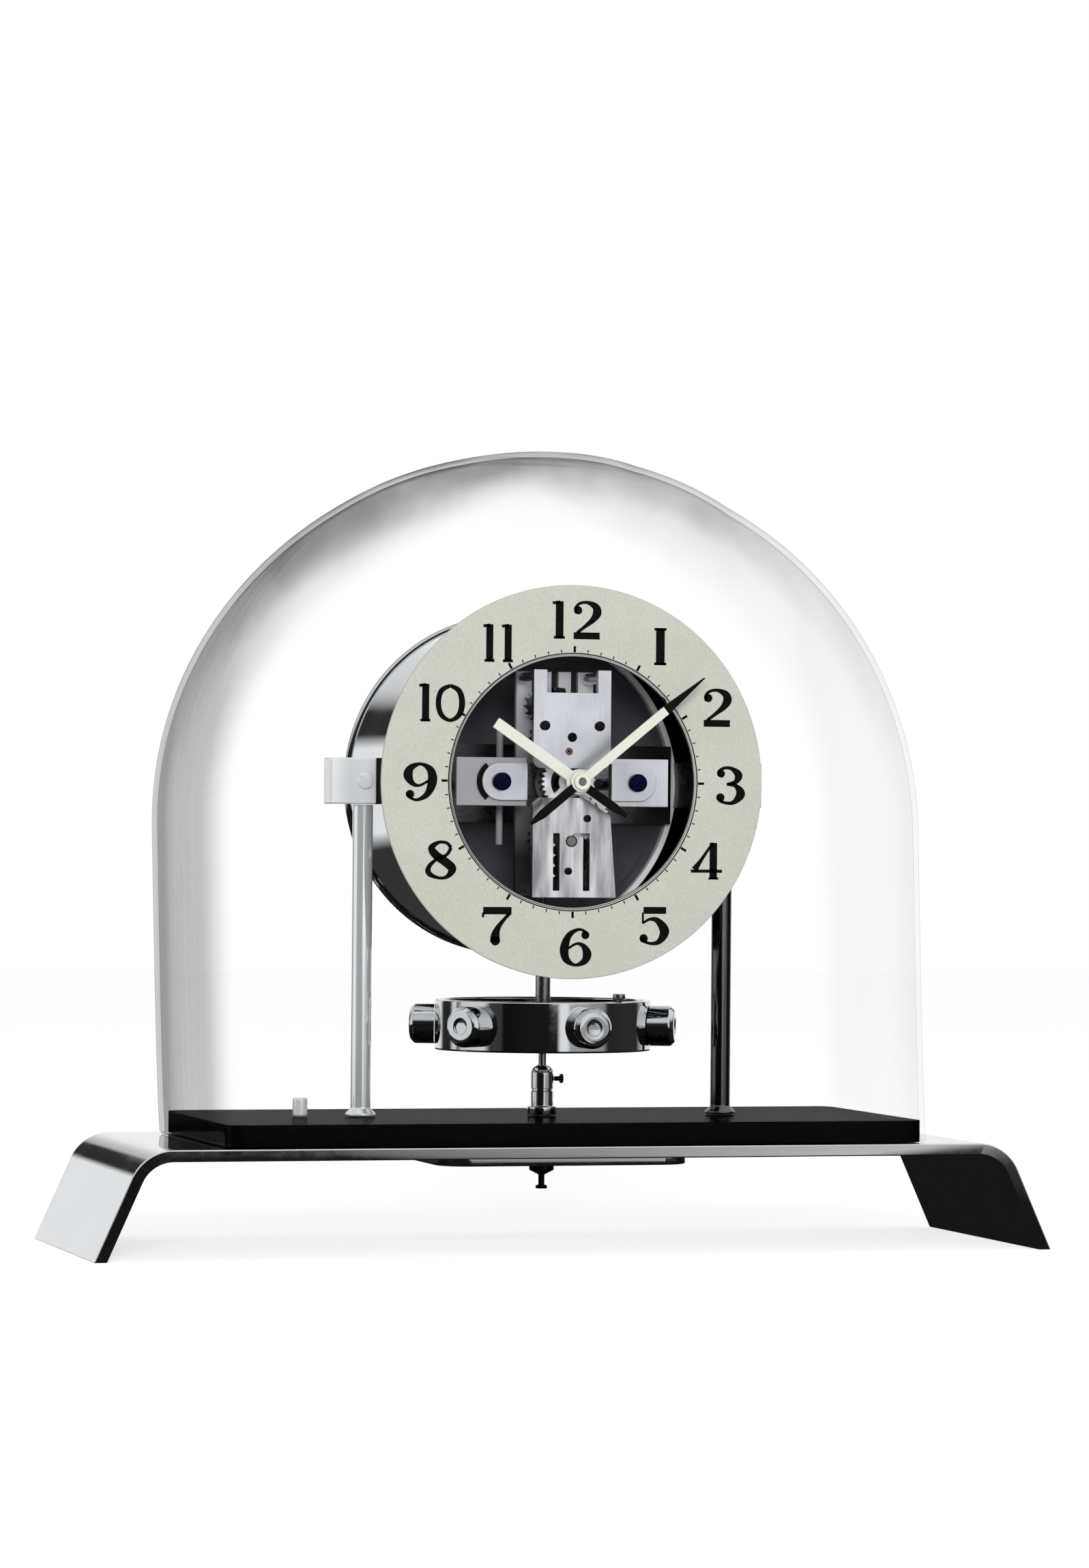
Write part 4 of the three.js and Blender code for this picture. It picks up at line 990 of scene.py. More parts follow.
@dataclass(frozen=True)
class Palette:
    """The clock's finishes."""

    chrome: Metal = Metal("mirror_chrome", "chrome", "#dcdfe2", 0.05, 0.025)
    # partly dull chrome; on the minute and hour wheels it makes a painted highlight
    pale_chrome: Metal = Metal("pale_chrome", "chrome", "#f4f5f6", 0.2, 0.05, metallic=0.35)
    spun_chrome: Metal = Metal("spun_chrome", "chrome", "#e0e2e4", 0.16, 0.02, relief=0.0001)
    # painted light: a pale, partly dull copy of the chrome for the left pillar
    painted_light_chrome: Metal = Metal("painted_light_chrome", "chrome", "#f6f8f8", 0.08, 0.03, metallic=0.62)
    # painted shade: the rear plate darkens towards its bottom, deep inside the movement
    rear: Metal = Metal(
        "nickel_painted_dark_below", "nickel", "#dededf", 0.4, 0.08, metallic=0.35, painted_shade=(0.1, 0.143)
    )
    # painted shade: a darker copy of the nickel for the left arm and the side rod
    painted_shade_nickel: Metal = Metal("nickel_painted_in_shade", "nickel", "#aeadb3", 0.4, 0.08, metallic=0.35)
    # painted highlight: the chrome carrier ring is dull white, so the lamp lights it as bright as a
    # highlight
    painted_highlight_ring: Metal = Metal(
        "ring_white_for_painted_highlight", "chrome", "#ffffff", 0.4, 0.06, patch_darkening=0.02, metallic=0.0
    )
    steel: Metal = Metal("ground_steel", "steel", "#a8aaae", 0.24, 0.07, grain_scale=1800.0)
    dark_steel: Metal = Metal("dark_ground_steel", "dark_steel", "#242428", 0.28, 0.08)
    nickel: Metal = Metal(
        "brushed_nickel", "nickel", "#eceef6", 0.3, 0.08, grain_scale=2400.0, grain=(1.0, 1.0, 0.06)
    )
    # painted reflection: dark upright streaks in the colour stand for the streaky light the lower
    # bridge mirrors
    streaked: Metal = Metal(
        "streaked_nickel", "nickel", "#f2f3f8", 0.26, 0.1, 330.0, grain_scale=2400.0,
        grain=(1.0, 1.0, 0.06), patch_darkening=0.62, streak=(1.0, 1.0, 0.14),
    )
    wheel: Metal = Metal("wheel_metal", "steel", "#8a8a88", 0.3, 0.08, grain_scale=2400.0)
    # painted shade: a dark copy of the chrome for the right pillar
    painted_shade_chrome: Metal = Metal("chrome_painted_in_shade", "chrome", "#6c6e72", 0.1, 0.03)
    blued: Metal = Metal("deep_blued_steel", "blued_steel", "#17163c", 0.3, 0.08)
    capsule: Metal = Metal(
        "dull_capsule", "capsule_grey", "#707076", 0.46, 0.1, patch_darkening=0.3, metallic=0.55
    )
    lacquer: Lacquer = Lacquer("black_lacquer", "black_plinth", "#040405")
    rubber: Coating = Coating("soft_rubber", "rubber", "#151516", 0.7, 0.1, 0.3, 1800.0, 0.01)
    dial: Coating = Coating(
        "grained_dial_silver", "dial_silver", "#c6c6b9", 0.5, 0.08, 0.12, 2600.0, 0.006
    )
    print_black: Coating = Coating(
        "printed_black", "hand_black", "#090908", 0.45, 0.08, 0.3, 1800.0, 0.003, shine=0.1
    )
    hand_black: Coating = Coating(
        "black_hand_paint", "hand_black", "#090908", 0.35, 0.06, 0.3, 1500.0, 0.002, shine=0.1
    )
    hand_cream: Coating = Coating(
        "cream_hand_paint", "hand_cream", "#e2e2d4", 0.45, 0.05, 0.05, 1500.0, 0.003
    )
    ruby: Coating = Coating(
        "ruby_jewel", "steel", "#5c2836", 0.1, 0.04, 0.2, 900.0, 0.0005, 1.0
    )
    glass: BlownGlass = BlownGlass("blown_glass", "dome_glass", "#f8f9fa")


# The clock's sub-assemblies


@dataclass
class Workshop:
    """What every sub-assembly needs: the finishes and the two trees that repeat pieces."""

    palette: Palette = field(default_factory=Palette)
    ring: CopyRing = field(default_factory=CopyRing)
    row: CopyRow = field(default_factory=CopyRow)


@dataclass
class Base:
    """Bent chrome strip, black plinth with its stud, and the plate below."""

    shop: Workshop
    length: float = 249.0
    depth: float = 86.0
    thickness: float = 3.0
    top: float = 27.5
    bend_radius: float = 10.0
    bend_steps: int = 28
    leg_lean: float = 24.0
    shank_hole: float = 1.8
    plinth_half: Pair = (90.8, 39.6)
    plinth_levels: Pair = (27.7, 33.3)
    plinth_corner: float = 4.0
    stud_place: float = -63.9
    stud_radius: float = 1.9
    stud_height: float = 4.7
    plate_half: Pair = (33.0, 26.0)
    plate_levels: Pair = (21.7, 24.3)
    plate_corner: float = 8.0

    def band(self) -> Outline:
        """Side view of the strip with its two bends.

        Returns:
            The outline, across and up.
        """
        turn = math.radians(90 - self.leg_lean)
        outer = self.bend_radius + self.thickness / 2
        inner = self.bend_radius - self.thickness / 2
        centre = self.top - outer
        outer_drop = centre + outer * math.cos(turn)
        inner_drop = centre + inner * math.cos(turn)
        bend = self.length / 2 - outer * math.sin(turn) - outer_drop / math.tan(turn)
        inner_foot = bend + inner * math.sin(turn) + inner_drop / math.tan(turn)

        def right_half(foot: float, radius: float) -> Outline:
            """One face of the strip from its right foot to the end of the bend."""
            angles = [turn * (1 - step / self.bend_steps) for step in range(self.bend_steps + 1)]
            return [(foot, 0.0)] + [
                (bend + radius * math.sin(angle), centre + radius * math.cos(angle))
                for angle in angles
            ]

        above, below = right_half(self.length / 2, outer), right_half(inner_foot, inner)
        left_above = [(-across, up) for across, up in reversed(above)]
        left_below = [(-across, up) for across, up in below]
        return above + left_above + left_below + below[::-1]

    def build(self) -> None:
        """Makes the strip, the plinth, the stud and the plate."""
        finish = self.shop.palette
        hole = rod(self.shank_hole, 0, self.top + 10, Axis.Z, 32)
        half = self.depth / 2
        strip = prism(self.band(), -half, half, Axis.Y).less(hole).eased(0.3, 3)
        strip.made("strip", finish.chrome, "base_strip")
        outline = rounded_rectangle(*self.plinth_half, self.plinth_corner)
        plinth = prism(outline, *self.plinth_levels, Axis.Z).less(hole).eased(0.35, 3)
        plinth.made("plinth_slab", finish.lacquer, "plinth")
        foot = self.plinth_levels[1] + 0.2
        profile = cylinder(self.stud_radius, foot, foot + self.stud_height)
        stud = turned(softened(profile, 0.5, 4), Axis.Z, 40).moved(x=self.stud_place)
        stud.made("stud", finish.pale_chrome, "plinth_stud")
        outline = rounded_rectangle(*self.plate_half, self.plate_corner)
        plate = prism(outline, *self.plate_levels, Axis.Z).less(hole).eased(0.4, 3)
        plate.made("foot_plate", finish.chrome, "under_plate")


@dataclass
class Lock:
    """Thumb screw under the base, and the post that it lifts under the balance."""

    shop: Workshop
    stem_bottom: float = 14.4
    head_bottom: float = 18.0
    head_top: float = 21.5
    head_radius: float = 3.2
    knob_radius: float = 1.5
    shank_radius: float = 0.8
    shank_top: float = 33.3
    post_bottom: float = 33.5
    post_top: float = 46.5
    post_radius: float = 2.95
    collar: Pair = (3.9, 2.2)  # radius, height
    bore: Pair = (1.3, 5.0)  # radius, depth
    pin_height: float = 42.8

    def screw(self) -> Solid:
        """Thumb screw with its shank up through the base."""
        low, bottom, top = self.stem_bottom, self.head_bottom, self.head_top
        knob, shank = self.knob_radius, self.shank_radius
        profile = [(0.0, low), (knob, low), (knob, low + 0.9), (shank, low + 0.9), (shank, bottom)]
        profile += [(self.head_radius, bottom + 1.2), (self.head_radius, top), (knob, top)]
        profile += [(knob, self.shank_top), (0.0, self.shank_top)]
        return turned(softened(profile, 0.25), Axis.Z, 48)

    def post(self) -> Solid:
        """Post with its collar, its rounded head and the bore for the pivot.

        Returns:
            The post.
        """
        low, top, radius = self.post_bottom, self.post_top, self.post_radius
        crown = 0.8 * radius
        wide, high = self.collar
        profile: Profile = [(0.0, low), (wide, low), (wide, low + high), (radius, low + high)]
        profile = softened(profile + [(radius, low + 6.0)], 0.35)
        profile += [(radius - 0.25, low + 6.2), (radius - 0.25, low + 6.7), (radius, low + 6.9)]
        for step in range(11):
            angle = step / 10 * math.pi / 2
            profile.append((radius * math.cos(angle), top - crown + crown * math.sin(angle)))
        profile[-1] = (0.0, top)
        hole, deep = self.bore
        return turned(profile, Axis.Z, 56).less(rod(hole, top - deep, top + 1, Axis.Z, 32))

    def pin(self) -> Solid:
        """Clamping pin on the right of the post."""
        start, end = self.post_radius + 0.2, self.post_radius + 2.5
        profile = [(0.0, start), (0.6, start), (0.6, end - 0.7), (1.2, end - 0.7)]
        profile += [(1.2, end), (0.0, end)]
        return turned(softened(profile, 0.15), Axis.X, 32).moved(z=self.pin_height)

    def build(self) -> None:
        """Makes the screw, the post and the pin."""
        finish = self.shop.palette
        self.screw().made("thumb_screw", finish.dark_steel, "lock_screw", body="lock_screw_body")
        self.post().made("post", finish.chrome, "lock_post", body="lock_post_body")
        self.pin().made("post_pin", finish.dark_steel, "lock_pin", body="lock_post_body")


@dataclass
class Pillars:
    """The two pillars, the blocks on their heads and the screws in them."""

    shop: Workshop
    offset: float = 48.1
    radius: float = 2.6
    foot_radius: float = 3.9
    bottom: float = 33.5
    top: float = 113.1
    block_from: float = 45.5
    block_size: tuple[float, float, float] = (12.0, 8.4, 11.8)
    screw_place: float = 48.6

    def build(self) -> None:
        """Makes the pillars, the blocks and the pair of screws."""
        finish = self.shop.palette
        profile = [(0.0, self.bottom), (self.foot_radius, self.bottom)]
        profile += [(self.foot_radius, self.bottom + 0.6), (self.radius + 0.15, self.bottom + 1.8)]
        profile += [(self.radius, self.bottom + 2.1), (self.radius, self.top), (0.0, self.top)]
        shaft = turned(softened(profile, 0.25), Axis.Z, 72)
        for side in Side:
            word = side.word()
            standing = shaft.moved(x=side.value * self.offset)
            # painted light on the left pillar and painted shade on the right one, both of one
            # chrome
            metal = finish.painted_light_chrome if side is Side.LEFT else finish.painted_shade_chrome
            standing.made(f"pillar_shaft_{word}", metal, f"pillar_{word}")
            middle = side.value * (self.block_from + self.block_size[0] / 2)
            head = block(*self.block_size, middle, 0, DIAL_CENTRE).eased(0.45, 3)
            head.made(f"bracket_block_{word}", finish.pale_chrome, f"pillar_block_{word}")
            dress(f"bracket_pad_{word}", finish.rubber)
        back = -self.block_size[1] / 2 - 0.2
        screw = slotted_head(2.0, 0.9, back, 0.55, 35).moved(x=self.screw_place)
        self.shop.ring.spread(
            screw, "block_screws", finish.pale_chrome, "block_screw_left",
            "block_screw_right", copies=2, turn=180.0, **DIAL_TURN,
        )


@dataclass
class Drum:
    """Chrome drum that holds the movement, with its back cover."""

    shop: Workshop
    radius: float = 44.0
    wall: float = 1.0
    front: float = -26.9
    back: float = 37.0
    flange_radius: float = 48.6
    bead: float = 0.9
    bead_steps: int = 12
    stem_hole: float = 2.55
    cover_gap: float = 0.2
    cover_rim: float = 7.0  # width of the rim around the sunk middle

    def shell(self) -> Solid:
        """Drum with its front flange, its rolled back edge and the hole for the stem.

        Returns:
            The shell, around the origin's height.
        """
        inner = self.radius - self.wall
        profile: Profile = [(inner, self.front), (self.flange_radius, self.front)]
        profile += [(self.flange_radius, self.front + 1.0), (self.radius, self.front + 1.0)]
        profile.append((self.radius, self.back - 2 * self.bead))
        profile = [profile[0]] + softened(profile, 0.3)[1:]
        for step in range(1, self.bead_steps):
            angle = step / self.bead_steps * math.pi - math.pi / 2
            along = self.back - self.bead + self.bead * math.sin(angle)
            profile.append((self.radius + self.bead * math.cos(angle), along))
        profile += [(self.radius, self.back), (inner, self.back), (inner, self.front)]
        hole = rod(self.stem_hole, -DIAL_CENTRE, 0, Axis.Z, 32)
        return turned(profile, Axis.Y, 192).less(hole)

    def cover(self) -> Solid:
        """Dished back cover that is pressed into the drum.

        Returns:
            The cover, around the origin's height.
        """
        radius = self.radius - self.wall - self.cover_gap
        well = radius - self.cover_rim
        edge, back = self.back, self.back + 0.8
        profile = [(0.0, back - 3.8), (well - 0.8, back - 3.8), (well, edge - 0.8)]
        profile += [(radius - 1.6, edge - 0.8), (radius - 0.8, edge - 3), (radius, edge - 3)]
        profile += [(radius, edge - 0.8), (radius - 0.8, back), (well + 0.8, back)]
        profile += [(well, back - 3), (0.0, back - 3)]
        return turned(softened(profile, 0.4), Axis.Y, 160)

    def shade_line(self) -> Solid:
        """Thin dark line between the drum and its cover: a black ring that paints the shade where
        they meet.
        """
        inner, outer = self.radius - 0.6, self.radius + 0.25
        return tube(inner, outer, self.back - 2.6, self.back - 1.9, Axis.Y, 160, 0.1)

    def build(self) -> None:
        """Makes the shell, the cover and the painted shade line between them."""
        finish = self.shop.palette
        self.shell().raised().made("drum_wall", finish.chrome, "drum_shell")
        self.cover().raised().made("back_cover", finish.spun_chrome, "drum_back_cover")
        # painted shade: a black ring where the drum's rolled edge meets its cover
        self.shade_line().raised().made("drum_painted_shade_line", finish.rubber)


@dataclass(frozen=True)
class Stroke:
    """One stroke of a numeral: points across and up from its middle, each with a width."""

    points: tuple[Point, ...]
    curved: bool = True
    swell: float = 1.08  # how much wider the ink is than drawn
    gain: float = 0.14  # and by how many millimetres more
    steps: int = 8  # along each part of a curve

    def path(self) -> list[tuple[Vector, float]]:
        """Points close together along the stroke.

        Returns:
            Place and width of each point.
        """
        given = [Vector(point) for point in self.points]
        if not self.curved or len(given) < 3:
            return [(point.xy, point.z) for point in given]
        ends = [2 * given[0] - given[1], *given, 2 * given[-1] - given[-2]]
        made: list[Vector] = []
        for first, second, third, fourth in zip(ends, ends[1:], ends[2:], ends[3:]):
            for step in range(self.steps):
                share = step / self.steps
                twice = 2 * second + (third - first) * share
                twice += (2 * first - 5 * second + 4 * third - fourth) * share**2
                twice += (3 * second - first - 3 * third + fourth) * share**3
                made.append(0.5 * twice)
        made.append(given[-1])
        return [(point.xy, point.z) for point in made]

    def ribbon(self, front: float, back: float) -> Solid:
        """The stroke as a thin raised ribbon that faces the front.

        Args:
            front: its face.
            back: the dial's face that it is printed on.

        Returns:
            The ribbon.
        """
        path = self.path()
        corners: list[Vector] = []
        for index, (here, width) in enumerate(path):
            before = path[max(index - 1, 0)][0]
            after = path[min(index + 1, len(path) - 1)][0]
            along = (after - before).normalized()
            across = Vector((-along.y, along.x)) * (self.swell * width + self.gain) / 2
            for edge in (here + across, here - across):
                corners += [Vector((edge.x, front, edge.y)), Vector((edge.x, back, edge.y))]
        faces: Faces = [(0, 1, 3, 2)]
        for start in range(0, len(corners) - 4, 4):
            a, b, c, d = range(start, start + 4)
            faces += [(a, c, c + 4, a + 4), (b, b + 4, d + 4, d)]
            faces += [(a, a + 4, b + 4, b), (c, d, d + 4, c + 4)]
        last = len(corners) - 4
        faces.append((last, last + 2, last + 3, last + 1))
        return Solid(corners, faces).outward()


def curve(*points: Point) -> Stroke:
    """Curved stroke through points."""
    return Stroke(points)


def bar(*points: Point) -> Stroke:
    """Straight stroke between points."""
    return Stroke(points, False)


@dataclass
class Dial:
    """Silvered ring with its numerals, its minute and hour marks and its hole's bright edge."""

    shop: Workshop
    radius: float = 50.0
    hole: float = 32.3
    face: float = -28.3
    thickness: float = 1.2
    print_height: float = 0.06
    minute_mark: Point = (32.95, 33.75, 0.26)  # from, to, width
    hour_mark: Point = (32.9, 34.5, 0.62)

    def digits(self) -> dict[str, list[Stroke]]:
        """Strokes of each digit, about 9.4 mm tall, thick on one side and thin on the other.

        Returns:
            The strokes by digit; B is the bare bar of the single one.
        """
        thick, thin = 1.75, 0.5
        return {
            "B": [bar((0, 4.7, 2.0), (0, -4.7, 2.0)), bar((-1.6, 4.4, thin), (1.6, 4.4, thin)),
                bar((-1.6, -4.4, thin), (1.6, -4.4, thin))],
            "1": [bar((0.15, 4.7, thick), (0.15, -4.7, thick)),
                bar((-1.7, 4.25, 0.55), (0.3, 4.5, 0.6)),
                bar((-1.35, -4.45, thin), (1.55, -4.45, thin))],
            "2": [curve((-2.9, 1.7, 0.5), (-3.05, 3.0, 0.6), (-1.9, 4.25, 0.55), (0.2, 4.5, 0.7),
                (2.3, 3.5, 1.6), (2.75, 1.9, 2.0), (1.6, 0.1, 1.3), (-0.6, -1.7, 0.7),
                (-2.6, -3.2, 0.6)),
                bar((-3.5, -3.95, 1.5), (3.5, -3.95, 1.5))],
            "3": [curve((-2.8, 2.4, 0.5), (-2.9, 3.5, 0.6), (-1.4, 4.45, 0.6), (0.6, 4.3, 0.8),
                (2.4, 2.7, 1.8), (1.6, 0.9, 1.0), (-0.7, 0.3, 0.5)),
                curve((-0.7, 0.3, 0.5), (1.7, -0.1, 0.9), (3.0, -2.1, 2.1), (1.3, -4.2, 1.0),
                (-0.7, -4.5, 0.6), (-2.7, -3.8, 0.6), (-3.0, -2.7, 0.5))],
            "4": [curve((1.8, 4.6, 0.5), (0.3, 2.6, 0.55), (-1.6, -0.1, 0.8), (-3.2, -2.3, 1.5)),
                bar((-4.2, -2.65, 0.6), (4.3, -2.65, 0.6)),
                bar((1.9, 4.6, thick), (1.9, -4.7, thick)),
                bar((0.6, -4.5, 0.4), (3.3, -4.5, 0.4))],
            "5": [bar((-2.6, 3.95, 1.5), (3.4, 3.95, 1.5)),
                bar((-2.75, 3.4, 0.35), (-2.75, 0.6, 0.35)),
                curve((-2.75, 0.7, 0.4), (-0.9, 1.7, 0.6), (1.2, 1.3, 1.3), (3.0, -1.3, 2.2),
                (1.7, -3.9, 1.2), (-0.5, -4.5, 0.6), (-2.6, -3.8, 0.6), (-3.1, -2.9, 0.5))],
            "6": [curve((3.1, 2.9, 0.5), (2.4, 4.0, 0.55), (0.6, 4.5, 0.6), (-1.8, 3.0, 1.3),
                (-3.0, -0.2, 2.0), (-2.5, -3.0, 1.6), (-0.2, -4.5, 0.6), (2.2, -3.6, 1.4),
                (3.0, -1.7, 2.0), (2.0, 0.3, 1.1), (0.2, 0.9, 0.5), (-2.2, -0.4, 0.45))],
            "7": [bar((-3.7, 3.9, 1.6), (3.7, 3.9, 1.6)), bar((-3.6, 3.4, 0.5), (-3.8, 2.2, 0.35)),
                curve((3.3, 3.3, 0.7), (1.7, 1.6, 0.7), (0.2, -0.4, 1.2), (-0.5, -2.4, 2.0),
                (-0.5, -4.0, 2.3))],
            "8": [curve((2.5, 3.1, 0.7), (1.4, 4.3, 0.6), (-0.6, 4.4, 0.7), (-2.3, 3.0, 1.4),
                (-1.2, 1.2, 1.8), (1.0, -0.4, 1.9), (2.8, -2.2, 1.8), (1.6, -4.2, 0.8),
                (-0.6, -4.5, 0.6), (-2.9, -3.4, 1.1), (-2.9, -1.7, 0.9), (-1.0, 0.2, 0.6),
                (1.4, 1.3, 0.6), (2.5, 3.1, 0.7))],
            "0": [curve((0.0, 4.4, 0.7), (-2.4, 3.0, 1.1), (-3.2, 0.0, 1.2), (-2.4, -3.0, 1.1),
                (0.0, -4.4, 0.7), (2.4, -3.0, 1.2), (3.2, 0.0, 1.4), (2.4, 3.0, 1.2),
                (0.0, 4.4, 0.7))],
        }

    def balls(self) -> dict[str, list[Point]]:
        """Round ends of some digits: across, up and radius."""
        return {
            "2": [(-2.3, 2.5, 1.05)],
            "3": [(-2.2, 3.0, 1.0), (-2.4, -3.1, 1.1)],
            "5": [(-2.5, -3.2, 1.1)],
            "6": [(2.5, 3.1, 1.05)],
            "7": [(-0.5, -3.7, 1.2)],
        }

    def places(self) -> list[tuple[str, float, float, float]]:
        """Digits and where each stands: across, up and share of the full width."""
        return [
            ("1", -4.2, 41.1, 1.0), ("2", 3.1, 41.1, 0.98), ("B", 22.6, 34.8, 1.0),
            ("2", 37.8, 19.4, 1.0), ("3", 41.3, -0.4, 1.0), ("4", 35.3, -19.7, 0.98),
            ("5", 21.3, -36.4, 1.0), ("6", 0.9, -41.9, 1.0), ("7", -19.7, -36.6, 1.0),
            ("8", -34.5, -20.0, 1.05), ("9", -40.0, -0.4, 1.05), ("1", -38.9, 19.6, 0.9),
            ("0", -32.4, 19.6, 0.96), ("1", -22.4, 34.9, 0.9), ("1", -17.6, 34.9, 0.9),
        ]

    def digit(self, name: str, width: float) -> Solid:
        """One digit, standing around the origin.

        Args:
            name: the digit.
            width: share of its full width.

        Returns:
            The digit in thin relief; a nine is a six turned over.
        """
        front, back = self.face - self.print_height, self.face + 0.02
        source = "6" if name == "9" else name
        parts = [stroke.ribbon(front, back) for stroke in self.digits()[source]]
        for across, up, radius in self.balls().get(source, []):
            dot = turned(cylinder(radius, back, front), Axis.Y, 28)
            parts.append(dot.moved(x=across, z=up))
        whole = parts[0].beside(*parts[1:])
        if name == "9":
            whole = whole.swung(Axis.Y, 180)
        return Solid([Vector((at.x * width, at.y, at.z)) for at in whole.corners], whole.faces)

    def mark(self, size: Point) -> Solid:
        """Printed mark at twelve."""
        low, high, width = size
        outline = rectangle(width / 2, low, high)
        return prism(outline, self.face - self.print_height, self.face + 0.02, Axis.Y)

    def build(self) -> None:
        """Makes the ring, its bright edge, the numerals and the marks."""
        finish = self.shop.palette
        back = self.face + self.thickness
        profile = [(self.hole, back), (self.hole, self.face), (self.radius, self.face)]
        profile += [(self.radius, back), (self.hole, back)]
        ring = turned(softened(profile, 0.35, 4), Axis.Y, 192)
        ring.raised().made("dial_face", finish.dial, "dial_ring")
        inner, outer = self.hole - 0.45, self.hole - 0.02
        edge = tube(inner, outer, self.face + 0.2, back + 0.15, Axis.Y, 192, 0.25)
        edge.raised().made("dial_hole_edge", finish.chrome)
        inner, outer, front = self.hole + 0.22, self.hole + 0.5, self.face - self.print_height
        line = tube(inner, outer, front, self.face + 0.02, Axis.Y, 192, 0.01)
        line.raised().made("hole_line", finish.print_black)
        digits = [self.digit(name, width).moved(x=x, z=z) for name, x, z, width in self.places()]
        numerals = digits[0].beside(*digits[1:]).raised()
        numerals.made("numerals", finish.print_black)
        self.shop.ring.spread(
            self.mark(self.minute_mark), "minute_marks", finish.print_black,
            copies=60, turn=6.0, start=6.0, skip_every=5, jitter=0.08, **DIAL_TURN,
        )
        self.shop.ring.spread(
            self.mark(self.hour_mark), "hour_marks", finish.print_black,
            copies=12, turn=30.0, **DIAL_TURN,
        )


@dataclass
class WindingCapsule:
    """Capsule that winds the clock, the ring that carries it, the bar and the plunger."""

    shop: Workshop
    front: float = 16.8
    depth: float = 15.0
    radius: float = 38.7
    folds: int = 3
    fold_depth: float = 3.0
    ring_inner: float = 38.9
    ring_outer: float = 40.4
    lug_front: float = -4.0
    lug_half: float = 6.0
    lug_outer: float = 42.8
    plunger_head: Pair = (7.0, 0.9)  # radius, thickness
    plunger_stem: Pair = (1.4, 4.3)  # radius, where its tip is

    def capsule(self) -> Solid:
        """Drum of thin metal with rounded folds."""
        fold = self.depth / self.folds
        low = self.radius - self.fold_depth
        profile: Profile = [(0.0, self.front), (low, self.front)]
        for count in range(self.folds):
            start = self.front + count * fold
            profile += [(self.radius, start + 0.3 * fold), (self.radius, start + 0.5 * fold)]
            profile += [(low, start + 0.8 * fold), (low, start + fold)]
        profile.append((0.0, self.front + self.depth))
        return turned(softened(profile, 0.9, 4), Axis.Y, 160)

    def build(self) -> None:
        """Makes the ring with its lugs, the capsule and the plunger, and dresses the bar."""
        finish = self.shop.palette
        front, back = self.front - 0.2, self.front + 2.8
        ring = tube(self.ring_inner, self.ring_outer, front, back, Axis.Y, 192, 0.3)
        # painted highlight: the chrome ring is dressed dull white
        ring.raised().made("capsule_ring", finish.painted_highlight_ring, "carrier_ring")
        spread = math.degrees(math.asin(self.lug_half / self.ring_outer))
        outlines = [
            sector(self.ring_outer - 0.4, self.lug_outer, side, spread) for side in (0.0, 180.0)
        ]
        lugs = [prism(each, self.lug_front, back, Axis.Y).eased(0.25, 2) for each in outlines]
        lugs[0].beside(lugs[1]).raised().made("ring_lugs", finish.dark_steel)
        self.capsule().raised().made("capsule", finish.capsule, "bellows_capsule")
        (wide, thick), (narrow, tip) = self.plunger_head, self.plunger_stem
        profile = [(0.0, front), (wide, front), (wide, front - thick), (narrow, front - thick)]
        profile += [(narrow, tip), (0.0, tip)]
        plunger = turned(softened(profile, 0.2), Axis.Y, 64).raised()
        plunger.made("plunger", finish.steel, "capsule_plunger", body="plunger_body")
        dress("rear_bar", finish.steel)


